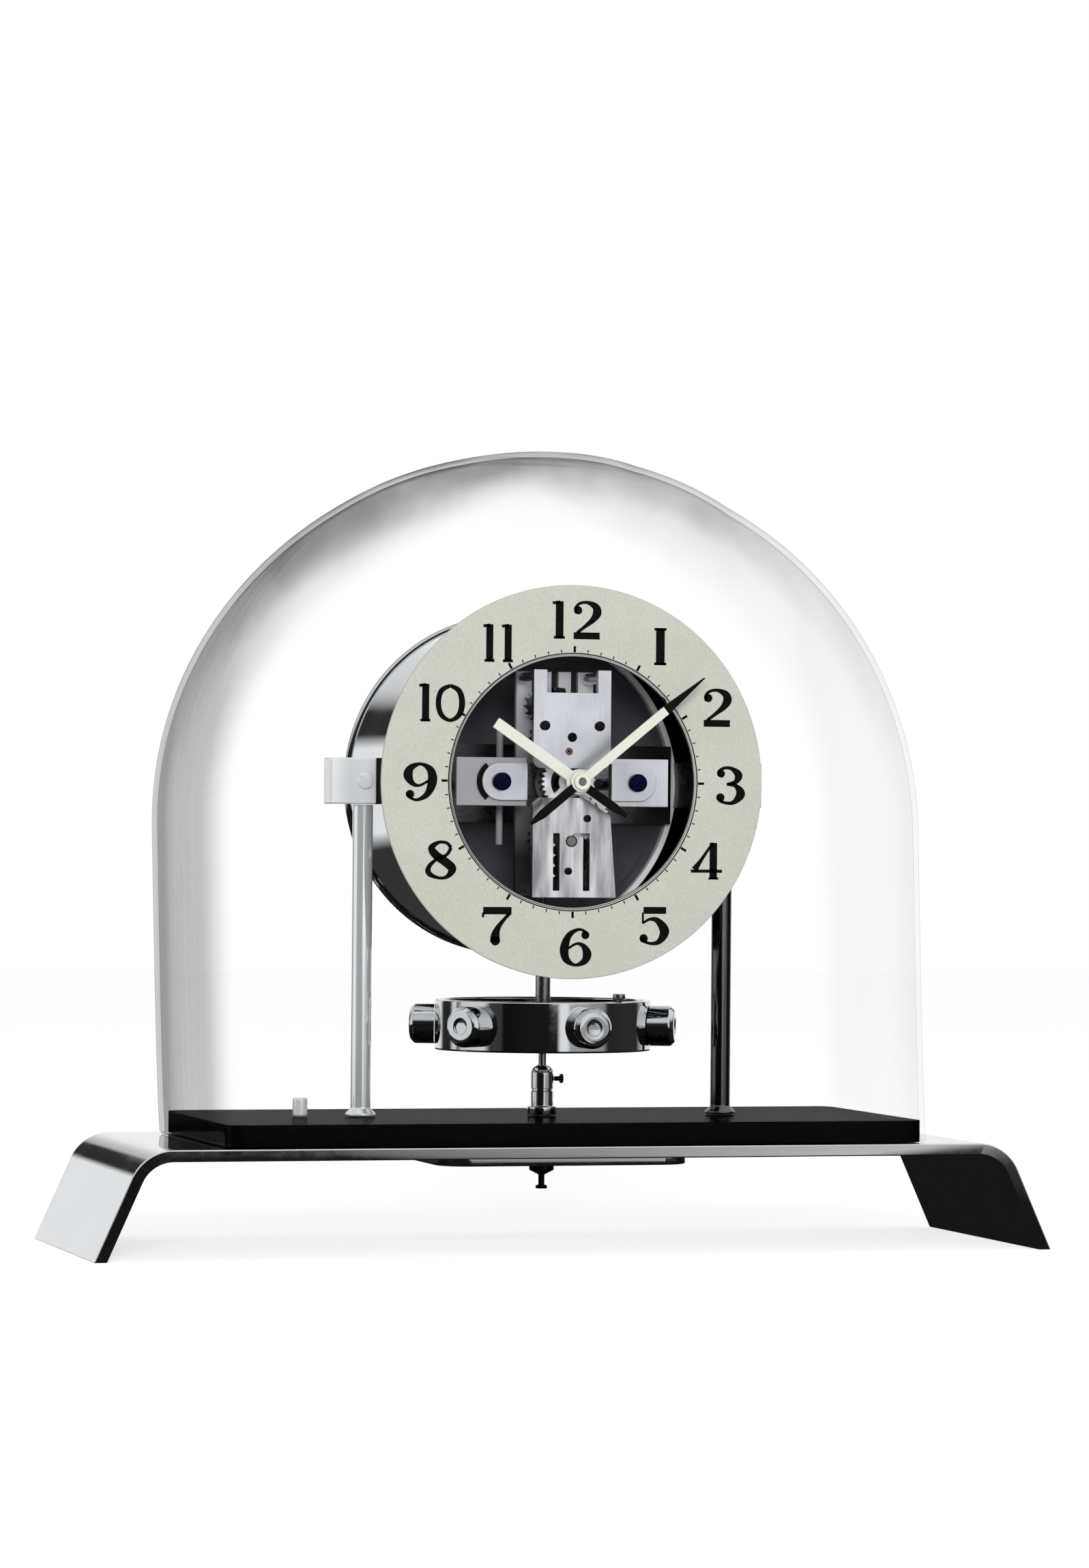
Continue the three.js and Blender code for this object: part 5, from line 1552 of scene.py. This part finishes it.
@dataclass
class Movement:
    """Front bridges, rear plate, side rod and the small pieces that are seen on them."""

    shop: Workshop
    front: float = -26.7
    thickness: float = 2.0
    half_width: float = 10.2
    corner: float = 2.2
    upper: Pair = (3.5, 28.5)
    notch_half: float = 6.7
    notch_bottom: float = 22.7
    jewel_place: Pair = (-0.8, 7.8)  # across, up from the dial's middle
    lower: Pair = (-29.3, -4.0)
    slot: tuple[float, ...] = (3.1, 4.8, -27.6, -13.0)  # inner, outer, bottom, top
    rear_front: float = -9.4
    rear_thickness: float = 1.8
    rear_tab: Pair = (15.7, 2.0)  # reach to the left, half height
    comb: Point = (1.9, 14.0, 5.2)  # width and depth of a gap, step between gaps
    post_radius: float = 1.5
    screw_offset: float = 7.2
    screw_rise: float = 14.3
    barrel_drop: float = 15.0
    third_rise: float = 11.4
    rod_place: float = -14.8
    bearings: tuple[Point, ...] = (  # radius, across, up
        (1.5, 0, -15.0), (1.1, 0, 0), (1.1, 0, 11.4), (1.1, -5, 19.595), (1.1, 1.9, 19.595),
    )

    def posts(self, height: float) -> list[Solid]:
        """Pair of pillars between the front bridges and the rear plate."""
        front, back = self.front + self.thickness - 0.5, self.rear_front - 0.2
        post, reach = rod(self.post_radius, front, back, Axis.Y, 32), self.half_width - 1.8
        return [post.moved(side * reach, 0, height) for side in (-1, 1)]

    def bore(self, radius: float, x: float, height: float, sides: int) -> Solid:
        """Tool that drills a hole through a bridge."""
        return rod(radius, -40, 0, Axis.Y, sides).moved(x, 0, height)

    def bridge_up(self) -> Solid:
        """Upper bridge with its notch, its jewel hole and two pillars.

        Returns:
            The bridge, with heights from the dial's middle.
        """
        half, corner, (low, top) = self.half_width, self.corner, self.upper
        notch, floor = self.notch_half, self.notch_bottom
        outline = [(corner - half, low), (half - corner, low)]
        outline += arc_points(half - corner, low + corner, corner, -90, 0)[1:]
        outline += [(half, top), (notch, top), (notch, floor)]
        outline += [(-notch, floor), (-notch, top), (-half, top)]
        outline += arc_points(corner - half, low + corner, corner, 180, 270)[:-1]
        plate = prism(outline, self.front, self.front + self.thickness, Axis.Y)
        holes = [self.bore(1.1, 0, self.third_rise, 40), self.bore(0.55, *self.jewel_place, 24)]
        return plate.less(*holes).eased(0.22, 2).beside(*self.posts(top - 1.8))

    def bridge_down(self) -> Solid:
        """Lower bridge with its sloping head, two slots and a bearing hole.

        Returns:
            The bridge, with heights from the dial's middle.
        """
        half, (low, top) = self.half_width, self.lower
        outline = [(-half, top - 1.2), (1.6 - half, top), (3.2, top), (half, top - 4.5)]
        outline += [(half + 1.6, low), (-half, low)]
        inner, outer, bottom, head = self.slot
        middle, width, height = (inner + outer) / 2, outer - inner, (head + bottom) / 2
        cuts = [
            block(width, 9, head - bottom, side * middle, self.front, height) for side in (-1, 1)
        ]
        cuts.append(block(3.4, 9, 0.9, 2.2, self.front, head - 0.45))
        cuts.append(self.bore(1.5, 0, -self.barrel_drop, 40))
        plate = prism(outline, self.front, self.front + self.thickness, Axis.Y).less(*cuts)
        return plate.eased(0.2, 2).beside(*self.posts(low + 1.8))

    def rear(self) -> Solid:
        """Rear plate with the comb along its top edge and the bearing holes.

        Returns:
            The plate, with heights from the dial's middle.
        """
        half, low, top = self.half_width, self.lower[0], self.upper[1]
        tab, rise = self.rear_tab
        outline = [(-half, low), (half, low), (half, top), (-half, top), (-half, rise)]
        outline += [(-tab, rise), (-tab, -rise), (-half, -rise)]
        front, back = self.rear_front, self.rear_front + self.rear_thickness
        width, depth, pitch = self.comb
        middle = (front + back) / 2
        cuts = [block(width, 9, depth, pitch * step, middle, top) for step in (-1, 0, 1)]
        for radius, x, height in self.bearings:
            cuts.append(rod(radius, front - 1, back + 1, Axis.Y, 32).moved(x, 0, height))
        return prism(outline, front, back, Axis.Y).less(*cuts).eased(0.15, 2)

    def screws(self) -> None:
        """Makes the screws on the bridges and the teeth in the lower bridge's slot."""
        finish, spread = self.shop.palette, self.shop.row.spread
        offset, height = self.screw_offset, DIAL_CENTRE + self.screw_rise
        spread(
            slotted_head(1.25, 0.5, self.front - 0.2, 0.35, 20), "bridge_screws",
            finish.dark_steel, "bridge_screw_left", "bridge_screw_right", copies=2,
            first=(-offset * MM, 0.0, height * MM), step=(2 * offset * MM, 0.0, 0.0),
        )
        spread(
            slotted_head(0.95, 0.4, self.front - 0.02, 0.3, 60), "bridge_small_screws",
            finish.dark_steel, copies=2,
            first=(-0.8 * MM, 0.0, (DIAL_CENTRE - 22.6) * MM), step=(4.9 * MM, 0.0, 13.4 * MM),
        )
        outline = [(-0.45, -0.7), (0.45, 0.0), (-0.45, 0.7)]
        spread(
            prism(outline, self.front + 0.1, self.front + 1.6, Axis.Y), "slot_teeth",
            finish.nickel, copies=4,
            first=(-4.6 * MM, 0.0, (DIAL_CENTRE - 16.0) * MM), step=(0.0, 0.0, -2.6 * MM),
        )

    def build(self) -> None:
        """Makes the frame of the movement and its small pieces."""
        finish, front = self.shop.palette, self.front
        self.bridge_up().raised().made("bridge_upper", finish.nickel, "upper_bridge")
        lower = self.bridge_down().raised()
        # painted reflection: the lower bridge is darkened in upright streaks
        lower.made("bridge_lower", finish.streaked, "lower_bridge")
        self.rear().raised().made("plate_rear", finish.rear, "rear_plate")
        # painted shade: the side rod wears the darker copy of the nickel
        side_rod = rod(0.9, -16, 16, Axis.Z, 32).moved(self.rod_place, self.rear_front - 1.1)
        side_rod.raised().made("rod_left", finish.painted_shade_nickel, "side_rod")
        # painted shade: a black disc fills the upper bridge's hole, for the shade inside it
        cap = rod(1.2, front - 0.3, front + 0.3, Axis.Y, 40).eased(0.1, 2)
        cap = cap.moved(z=DIAL_CENTRE + self.third_rise)
        cap.made("hole_painted_shade", finish.hand_black)
        across, up = self.jewel_place
        stone = tube(0.3, 1.0, front - 0.06, front + 0.4, Axis.Y, 40, 0.1)
        stone.moved(across, 0, DIAL_CENTRE + up).made("jewel", finish.ruby)
        dress("suspension_bracket", finish.steel)
        self.screws()


@dataclass
class Arms:
    """The two arms that hold the movement, their clamps and posts, and the blued screws."""

    shop: Workshop
    start: float = 11.0
    reach: Pair = (29.4, 26.5)  # left, right
    half_height: float = 6.15
    levels: Pair = (-23.4, -21.6)
    clamp_place: float = 18.2
    clamp_radius: float = 4.8
    clamp_levels: Pair = (-24.6, -23.6)
    post_place: float = 17.9
    post_radius: float = 1.6
    post_levels: Pair = (-21.4, 14.0)

    def clamp(self, sign: int) -> Solid:
        """Tongue with a round end, on one side.

        Args:
            sign: -1 on the left, 1 on the right.

        Returns:
            The tongue, with heights from the dial's middle.
        """
        turn, radius = -90 * sign, self.clamp_radius
        outline = arc_points(sign * self.clamp_place, 0, radius, turn, turn + 180)
        outline += [(sign * self.start, radius * sign), (sign * self.start, -radius * sign)]
        return prism(outline, *self.clamp_levels, Axis.Y).eased(0.2, 2)

    def build(self) -> None:
        """Makes the arms, clamps and posts, the painted shadow arc and stub by them, and the
        screws.
        """
        finish, half = self.shop.palette, self.half_height
        # painted shade: the left arm wears a darker copy of the right arm's nickel
        metals = (finish.painted_shade_nickel, finish.nickel)
        for side, reach, metal in zip(Side, self.reach, metals):
            word, sign = side.word(), side.value
            inner, outer = sorted((sign * self.start, sign * reach))
            outline = [(inner, -half), (outer, -half), (outer, half), (inner, half)]
            arm = prism(outline, *self.levels, Axis.Y).eased(0.25, 2).raised()
            arm.made(f"arm_plate_{word}", metal, f"arm_{word}")
            clamp = self.clamp(sign).raised()
            clamp.made(f"clamp_{word}", finish.nickel, f"arm_clamp_{word}")
            post = rod(self.post_radius, *self.post_levels, Axis.Y, 40)
            post = post.moved(sign * self.post_place).raised()
            post.made(f"arm_pillar_{word}", finish.dark_steel, f"arm_post_{word}")
        # painted shadow: a black arc on the arm around the left clamp's round end
        groove = prism(sector(4.85, 5.9, 180, 52), -24.1, -23.38, Axis.Y)
        groove = groove.moved(x=-self.clamp_place).raised()
        groove.made("clamp_painted_shadow", finish.hand_black)
        stub = rod(1.2, -25.0, -22.5, Axis.Y, 32).moved(7.6, 0, DIAL_CENTRE - 0.3)
        stub.made("arm_stub", finish.dark_steel)
        screw = slotted_head(2.3, 1.1, -24.8, 0.6, -50).moved(x=self.post_place)
        self.shop.ring.spread(
            screw, "arm_screws", finish.blued, "arm_screw_left", "arm_screw_right",
            copies=2, turn=180.0, **DIAL_TURN,
        )


@dataclass
class Train:
    """Wheels, pinions and arbors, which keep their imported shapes."""

    shop: Workshop

    def build(self) -> None:
        """Dresses the wheels and arbors."""
        finish = self.shop.palette
        for metal, names in (
            (finish.wheel, ("barrel", "centre_arbor", "third_arbor")),
            # painted highlight: the minute and hour wheels are dressed pale for the bright spot
            # left of the hub
            (finish.pale_chrome, ("minute_wheel", "hour_wheel")),
            (finish.steel, ("cannon_pinion", "escape_wheel", "torsion_wire")),
            (finish.dark_steel, ("anchor", "beat_collar")),
        ):
            for name in names:
                dress(name, metal)


@dataclass
class Hands:
    """Two-coloured hands at eight minutes past ten, and the nut that holds them."""

    shop: Workshop
    minute_front: float = -35.6
    hour_front: float = -33.4
    thickness: float = 0.8
    minute_angle: float = 50.4
    hour_angle: float = 300 + 50.4 / 12

    def bar(self, wide: float, narrow: float, start: float, end: float, front: float) -> Solid:
        """Straight or tapered bar of a hand that points at twelve."""
        outline = [(-wide / 2, start), (wide / 2, start), (narrow / 2, end), (-narrow / 2, end)]
        return prism(outline, front, front + self.thickness, Axis.Y)

    def pair(
        self, front: float, baton: Pair, spear: list[Solid], hub: float, bore: float
    ) -> tuple[Solid, Solid]:
        """Cream and black parts of one hand.

        Args:
            front: the hand's face.
            baton: width and length of the cream bar.
            spear: the black parts.
            hub: radius of the hub.
            bore: radius of its hole.

        Returns:
            The cream part and the black part, pointing at twelve.
        """
        width, length = baton
        back = front + self.thickness
        hole = rod(bore, front - 1, back + 1, Axis.Y, 32)
        cream = rod(hub, front, back, Axis.Y, 56)
        cream = cream.with_piece(self.bar(width, width, 0, length, front))
        disc = rod(hub - 0.05, front + 0.1, back, Axis.Y, 48)
        black = disc.with_piece(*spear).less(hole)
        return cream.less(hole).eased(0.1, 2), black

    def tail(self, end: float, waist: float, front: float) -> list[Solid]:
        """Black parts of a hand behind its middle: the tapered end and the bar up to the hub."""
        front += 0.02
        return [self.bar(0.8, 2.2, end, waist, front), self.bar(2.2, 2.2, waist, 0, front)]

    def hang(self, parts: tuple[Solid, Solid], names: tuple[str, str, str], angle: float) -> None:
        """Turns a hand's two parts to the time and makes them.

        Args:
            parts: the cream part and the black part.
            names: which hand, and the names of the two parts.
            angle: degrees past twelve.
        """
        finish = self.shop.palette
        hand, cream_name, black_name = names
        cream, black = (part.swung(Axis.Y, angle).raised() for part in parts)
        cream.made(cream_name, finish.hand_cream, body=f"{hand}_train")
        black.made(black_name, finish.hand_black, f"{hand}_hand", body=f"{hand}_train")

    def build(self) -> None:
        """Makes both hands and the nut."""
        front = self.minute_front
        tip = self.bar(2.6, 0.3, 28.0, 42.0, front + 0.02).eased(0.08, 2)
        tail = self.tail(-16.8, -13.0, front)
        cream, black = self.pair(front, (2.3, 28.8), tail, 2.6, 1.0)
        names = ("minute", "minute_baton", "minute_spear")
        self.hang((cream, black.beside(tip)), names, self.minute_angle)
        front = self.hour_front
        parts = self.pair(front, (2.8, 26.2), self.tail(-15.2, -11.6, front), 3.2, 1.6)
        self.hang(parts, ("hour", "hour_baton", "hour_tail"), self.hour_angle)
        nut = tube(1.0, 2.1, -37.2, -35.8, Axis.Y, 56, 0.35).raised()
        nut.made("nut", self.shop.palette.hand_cream, "hand_nut", body="minute_train")


@dataclass
class Balance:
    """Balance ring with six round weights, its spokes and its stem."""

    shop: Workshop
    height: float = 56.8
    ring_radius: float = 27.9
    ring_wall: float = 1.8
    ring_height: float = 13.0
    weights: int = 6
    weight_radius: float = 5.2
    weight_reach: float = 34.4
    weight_start: float = 25.9
    seat_radius: float = 28.1  # what the weight's inner end is cut to
    hub: Point = (2.15, 4.4, 3.0)  # bore, radius, half height
    arm: tuple[float, ...] = (22.0, 4.0, 2.0, 14.9)  # size, place of middle
    first_bearing: float = -22.5
    knob_bearing: float = -59.0

    def ring(self) -> Solid:
        """Ring with rounded edges."""
        half, outer = self.ring_height / 2, self.ring_radius
        inner = outer - self.ring_wall
        profile = [(inner, -half), (outer, -half), (outer, half), (inner, half), (inner, -half)]
        return turned(softened(profile, 0.5, 4), Axis.Z, 240)

    def weight(self) -> Solid:
        """Round weight along +X, hollowed to sit on the ring."""
        radius, reach, start = self.weight_radius, self.weight_reach, self.weight_start
        profile = [(0.0, start), (radius, start), (radius, reach - 1.1), (radius - 1.1, reach)]
        profile += [(2.0, reach), (1.8, reach - 0.35), (0.0, reach - 0.35)]
        body = turned(softened(profile, 0.35), Axis.X, 72)
        return body.less(turned(cylinder(self.seat_radius, -9, 9), Axis.Z, 160))

    def spokes(self) -> Solid:
        """Hub and three spokes.

        Returns:
            The spider that carries the ring.
        """
        bore, radius, half = self.hub
        hub = tube(bore, radius, -half, half, Axis.Z, 64, 0.3)
        arm = block(*self.arm, 0, 0).eased(0.3, 2)
        return hub.beside(*(arm.swung(Axis.Z, 90 + 120 * turn) for turn in range(3)))

    def stem(self) -> Solid:
        """Stem up to the torsion wire, with the pivot at its foot."""
        profile = [(0.0, -12.8), (1.0, -12.8), (1.0, -4.0), (1.95, -3.0)]
        profile += [(1.95, 21.0), (0.0, 21.0)]
        return turned(softened(profile, 0.3), Axis.Z, 56)

    def knob(self) -> Solid:
        """Small knob on the ring's upper edge.

        Returns:
            The knob, at its place.
        """
        low = self.height + self.ring_height / 2
        profile = [(0.0, low), (0.9, low), (0.9, low + 0.5), (1.6, low + 0.6)]
        profile += [(1.6, low + 2.0), (0.0, low + 2.0)]
        knob = turned(softened(profile, 0.2), Axis.Z, 40)
        bearing = math.radians(self.knob_bearing)
        middle = self.ring_radius - self.ring_wall / 2
        return knob.moved(middle * math.cos(bearing), middle * math.sin(bearing))

    def build(self) -> None:
        """Makes the ring, the weights, the spokes, the stem and the rim's knob."""
        finish, rise = self.shop.palette, self.height
        ring = self.ring().moved(z=rise)
        ring.made("balance_rim", finish.chrome, "balance_ring", body="balance")
        names = [f"balance_weight_{number + 1}" for number in range(self.weights)]
        self.shop.ring.spread(
            self.weight(), "balance_weights", finish.chrome, *names, body="balance",
            copies=self.weights, turn=360.0 / self.weights, start=self.first_bearing,
            axis=(0.0, 0.0, 1.0), centre=(0.0, 0.0, rise * MM),
        )
        spokes = self.spokes().moved(z=rise)
        spokes.made("balance_spider", finish.steel, "balance_spokes", body="balance")
        stem = self.stem().moved(z=rise)
        stem.made("stem", finish.steel, "balance_stem", body="balance")
        self.knob().made("rim_knob", finish.steel, body="balance")


@dataclass
class Dome:
    """Blown glass dome: straight walls below, an arch above that leans a little to the left."""

    shop: Workshop
    half_length: float = 94.0
    half_depth: float = 42.8
    wall: float = 1.4
    corner: float = 13.0
    crown_corner: float = 41.0
    bottom: float = 27.7
    spring: float = 107.0
    top: float = 203.9
    lean: float = 4.8
    left_fall: float = 0.98  # the arch is fuller where this is less
    right_fall: float = 0.86
    corner_steps: int = 14
    side_steps: int = 14
    wall_steps: int = 12
    arch_steps: int = 64
    rim_steps: int = 8
    rim_height: float = 1.0
    last_angle: float = 89.2  # degrees up the arch, where the crown is closed

    def section(
        self, half_length: float, half_depth: float, corner: float, height: float,
        aside: float = 0.0,
    ) -> list[Vector]:
        """Plan of the dome at one height.

        Args:
            half_length: half its length there.
            half_depth: half its depth.
            corner: radius of its corners.
            height: the height.
            aside: how far its middle stands to the right, besides the lean.

        Returns:
            Points around it, counted the same at every height.
        """
        radius = min(corner, half_length, half_depth)
        rise = max(height - self.bottom, 0) / (self.top - self.bottom)
        shift = aside - self.lean * rise**0.7
        plan = rounded_rectangle(half_length, half_depth, radius, self.corner_steps)
        corners = [Vector((shift + x, y, height)) for x, y in plan]
        made: list[Vector] = []
        for index, here in enumerate(corners):
            made.append(here)
            if index % (self.corner_steps + 1) == self.corner_steps:
                ahead = corners[(index + 1) % len(corners)]
                shares = [step / self.side_steps for step in range(1, self.side_steps)]
                made += [here.lerp(ahead, share) for share in shares]
        return made

    def levels(self, inset: float, foot: float) -> list[list[Vector]]:
        """Sections from the foot to the crown, inset from the outer skin.

        Args:
            inset: distance inside the outer skin.
            foot: the lowest height.

        Returns:
            The sections.
        """
        half_length, half_depth = self.half_length - inset, self.half_depth - inset
        corner = max(self.corner - inset, 1.0)
        arch = self.top - inset - self.spring
        heights = [
            foot + (self.spring - foot) * step / self.wall_steps for step in range(self.wall_steps)
        ]
        rings = [self.section(half_length, half_depth, corner, height) for height in heights]
        for step in range(self.arch_steps + 1):
            share = math.sin(math.pi / 2 * step / self.arch_steps)
            angle = math.radians(self.last_angle * share)
            left = half_length * math.cos(angle) ** self.left_fall
            right = half_length * math.cos(angle) ** self.right_fall
            depth = half_depth * math.cos(angle) ** 0.35
            round_to = corner + (self.crown_corner - corner) * math.sin(angle) ** 2
            height = self.spring + arch * math.sin(angle) ** 0.985
            middle, aside = (left + right) / 2, (right - left) / 2
            rings.append(self.section(middle, depth, round_to, height, aside))
        return rings

    def skin(self) -> Solid:
        """Both skins and the rounded rim between them, as one closed shell.

        Returns:
            The shell.
        """
        foot = self.bottom + self.rim_height
        rings = list(reversed(self.levels(0.0, foot)))
        for step in range(1, self.rim_steps):
            angle = math.pi * step / self.rim_steps
            inset = self.wall / 2 * (1 - math.cos(angle))
            height = foot - self.rim_height * math.sin(angle)
            half_length, half_depth = self.half_length - inset, self.half_depth - inset
            corner = max(self.corner - inset, 1.0)
            rings.append(self.section(half_length, half_depth, corner, height))
        rings += self.levels(self.wall, foot)
        tips = [[sum(ring, Vector((0, 0, 0))) / len(ring)] for ring in (rings[0], rings[-1])]
        return lofted([tips[0], *rings, tips[1]])

    def build(self) -> None:
        """Makes the dome."""
        self.skin().made("dome", self.shop.palette.glass, "glass_dome", body="dome_body")


# Studio


@dataclass(frozen=True)
class Card:
    """A dark or bright card in the studio, as metal mirrors it."""

    bearing: Pair  # degrees to the right of the back
    reach: Pair  # degrees above the horizon
    tone: float
    soft: float = 1.0


@dataclass
class Studio:
    """White floor and surroundings, soft light, and the camera at the photograph's angle."""

    room: Stops = (  # degrees to the right of the front, and how bright metal sees the room there
        (-180, 0.92), (-155, 0.92), (-147, 0.04), (-131, 0.04), (-125, 0.8), (-80, 0.8),
        (-73, 0.1), (-60, 0.08), (-57, 0.02), (-9, 0.02), (-4, 0.9), (30, 0.9),
        (40, 0.4), (52, 0.4), (58, 0.03), (104, 0.03), (112, 0.4), (126, 0.92), (180, 0.92),
    )
    far_floor: Stops = (
        (-180, 0.92), (-155, 0.92), (-147, 0.03), (-131, 0.03), (-125, 0.8), (-80, 0.8),
        (-73, 0.1), (-60, 0.08), (-57, 0.01), (0, 0.01), (4, 0.95), (11, 0.95),
        (15, 0.4), (52, 0.4), (58, 0.03), (104, 0.03), (112, 0.4), (126, 0.92), (180, 0.92),
    )
    near_floor: Stops = (
        (-180, 0.04), (-60, 0.01), (4, 0.01), (6, 0.18), (27, 0.66), (29.5, 0.03), (180, 0.04),
    )
    near: float = 0.72  # metres from the clock to the far floor
    under: float = 0.34  # metres around the clock that metal sees dark, painted shade under the clock
    cards: tuple[Card, ...] = (
        Card((-6.0, 5.0), (8.0, 12.5), 0.4, 3.0),
        Card((-13.5, 0.0), (7.0, 12.0), 0.03),
    )
    ceiling: Colour = (0.88, 0.88, 0.89, 1.0)
    overhead: Pair = (0.2, 0.45)  # heights between which the ceiling begins
    room_light: float = 0.5
    floor_half: float = 3000.0
    floor_tone: float = 0.86
    floor_lift: float = 0.55  # glow that keeps the floor white to the eye
    lamp_power: float = 16.0
    lamp_size: Pair = (0.5, 0.4)
    lamp_place: Point = (-0.36, -1.5, 0.42)
    lamp_target: Point = (0.0, 0.0, 0.1)
    picture: Pair = (1596.0, 2299.0)
    focal: float = 7944.16
    principal: Pair = (1068.24, 1248.96)
    camera_place: Point = (-364.77, -1354.07, 101.84)
    sensor: float = 36.0
    yaw: float = 17.03
    roll: float = 0.475

    def tones(self, desk: Desk, direction: Socket, stops: Stops) -> Socket:
        """Brightness by bearing.

        Args:
            desk: the tree's nodes.
            direction: a direction or a place around the clock.
            stops: degrees to the right of the front, and brightness there.

        Returns:
            The brightness as a colour.
        """
        parts = desk.parts(direction)
        angle = desk.maths("ARCTAN2", parts[0], desk.maths("MULTIPLY", parts[1], -1.0))
        share = desk.maths("ADD", desk.maths("DIVIDE", angle, 2 * math.pi), 0.5)
        return desk.ramp(share, tuple(((bearing + 180) / 360, tone) for bearing, tone in stops))

    def sky(self) -> None:
        """World that is white to the eye, even for dull surfaces and banded for metal."""
        world = bpy.data.worlds.new("studio_room")
        bpy.context.scene.world = world
        world.use_nodes = True
        world.cycles.sampling_method = "NONE"
        desk = Desk(world.node_tree)
        direction = desk.add("ShaderNodeTexCoord").outputs["Generated"]
        parts = desk.parts(direction)
        above = desk.between(parts[2], 0.0, 1.0, *self.overhead)
        room = desk.blend(above, self.tones(desk, direction, self.room), self.ceiling)
        aft = desk.maths("DEGREES", desk.maths("ARCTAN2", parts[0], parts[1]))
        rise = desk.maths("DEGREES", desk.maths("ARCSINE", parts[2]))
        for card in self.cards:
            across = desk.inside(aft, *card.bearing, card.soft)
            up = desk.inside(rise, *card.reach, card.soft)
            room = desk.blend(desk.maths("MULTIPLY", across, up), room, grey(card.tone))
        seen = desk.blend(desk.after("Glossy"), WHITE, room)
        seen = desk.blend(desk.after("Diffuse"), seen, grey(self.room_light))
        desk.finish("World", desk.shader("Background", {"Color": seen, "Strength": 1.0}))

    def floor(self) -> None:
        """White floor that keeps the clock's soft shadow; metal sees it glow in bands, dark close
        around the clock as painted shade.
        """
        half = self.floor_half
        sheet = prism(rectangle(half, -half, half), -1.0, 0.0, Axis.Z)
        floor = new_object("floor", sheet.mesh("floor"))
        material = bpy.data.materials.new("white_floor")
        material.use_nodes = True
        desk = Desk(material.node_tree)
        place = desk.place()
        away = desk.add("ShaderNodeVectorMath", {0: place}, operation="LENGTH").outputs[1]
        distant = desk.between(away, 0.0, 1.0, self.near - 0.1, self.near + 0.1)
        near, far = (self.tones(desk, place, stops) for stops in (self.near_floor, self.far_floor))
        # painted shade: close around the clock the floor glows near black for metal, standing for
        # its shadow
        close = desk.between(away, 0.0, 1.0, self.under - 0.04, self.under + 0.04)
        tone = desk.blend(close, grey(0.01), desk.blend(distant, near, far))
        dull = desk.shader("BsdfDiffuse", {"Color": grey(self.floor_tone)})
        lift = desk.shader("Emission", {"Color": WHITE, "Strength": self.floor_lift})
        lifted = desk.shader("AddShader", {0: dull, 1: lift})
        glow = desk.shader("Emission", {"Color": tone, "Strength": 1.0})
        eye = desk.mixed(desk.after("Glossy"), lifted, glow)
        desk.finish("Material", desk.mixed(desk.after("Diffuse"), eye, dull))
        floor.data.materials.append(material)

    def lamps(self) -> None:
        """One broad soft lamp beside the camera, which metal doesn't mirror."""
        lamp = bpy.data.lights.new("soft_lamp", "AREA")
        lamp.shape = "RECTANGLE"
        lamp.size, lamp.size_y = self.lamp_size
        lamp.energy = self.lamp_power
        thing = new_object("soft_lamp", lamp)
        thing.location = self.lamp_place
        ahead = Vector(self.lamp_target) - thing.location
        thing.rotation_euler = ahead.to_track_quat("-Z", "Y").to_euler()
        thing.visible_glossy = False
        thing.visible_transmission = False

    def camera(self) -> None:
        """Camera fitted to the photograph."""
        data = bpy.data.cameras.new("camera")
        width, height = self.picture
        data.sensor_width = self.sensor
        data.sensor_fit = "AUTO"
        data.lens = self.focal * data.sensor_width / height
        data.shift_x = (width / 2 - self.principal[0]) / height
        data.shift_y = (self.principal[1] - height / 2) / height
        data.clip_start, data.clip_end = 0.05, 50.0
        thing = new_object("camera", data)
        turn, tilt = math.radians(self.yaw), math.radians(self.roll)
        ahead = Vector((math.sin(turn), math.cos(turn), 0))
        level = Vector((math.cos(turn), -math.sin(turn), 0))
        right = level * math.cos(tilt) + Vector((0, 0, 1)) * math.sin(tilt)
        above = Vector((0, 0, 1)) * math.cos(tilt) - level * math.sin(tilt)
        axes = Matrix((right, above, -ahead)).transposed().to_4x4()
        thing.matrix_world = Matrix.Translation(Vector(self.camera_place) * MM) @ axes
        bpy.context.scene.camera = thing

    def build(self) -> None:
        """Sets up the camera, the room, the floor and the lamp."""
        bpy.context.scene.view_settings.view_transform = "Standard"
        self.camera()
        self.sky()
        self.floor()
        self.lamps()


ASSEMBLIES = (
    Base, Lock, Pillars, Drum, Dial, WindingCapsule, Movement, Arms, Train, Hands, Balance, Dome,
)


def main() -> None:
    """Builds the clock, sub-assembly by sub-assembly, and the studio around it."""
    logging.basicConfig(level=logging.INFO, format="%(name)s %(message)s")
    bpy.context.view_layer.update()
    shop = Workshop()
    for assembly in ASSEMBLIES:
        log.info("building %s", assembly.__name__)
        assembly(shop).build()
    Studio().build()


if __name__ == "__main__":
    main()
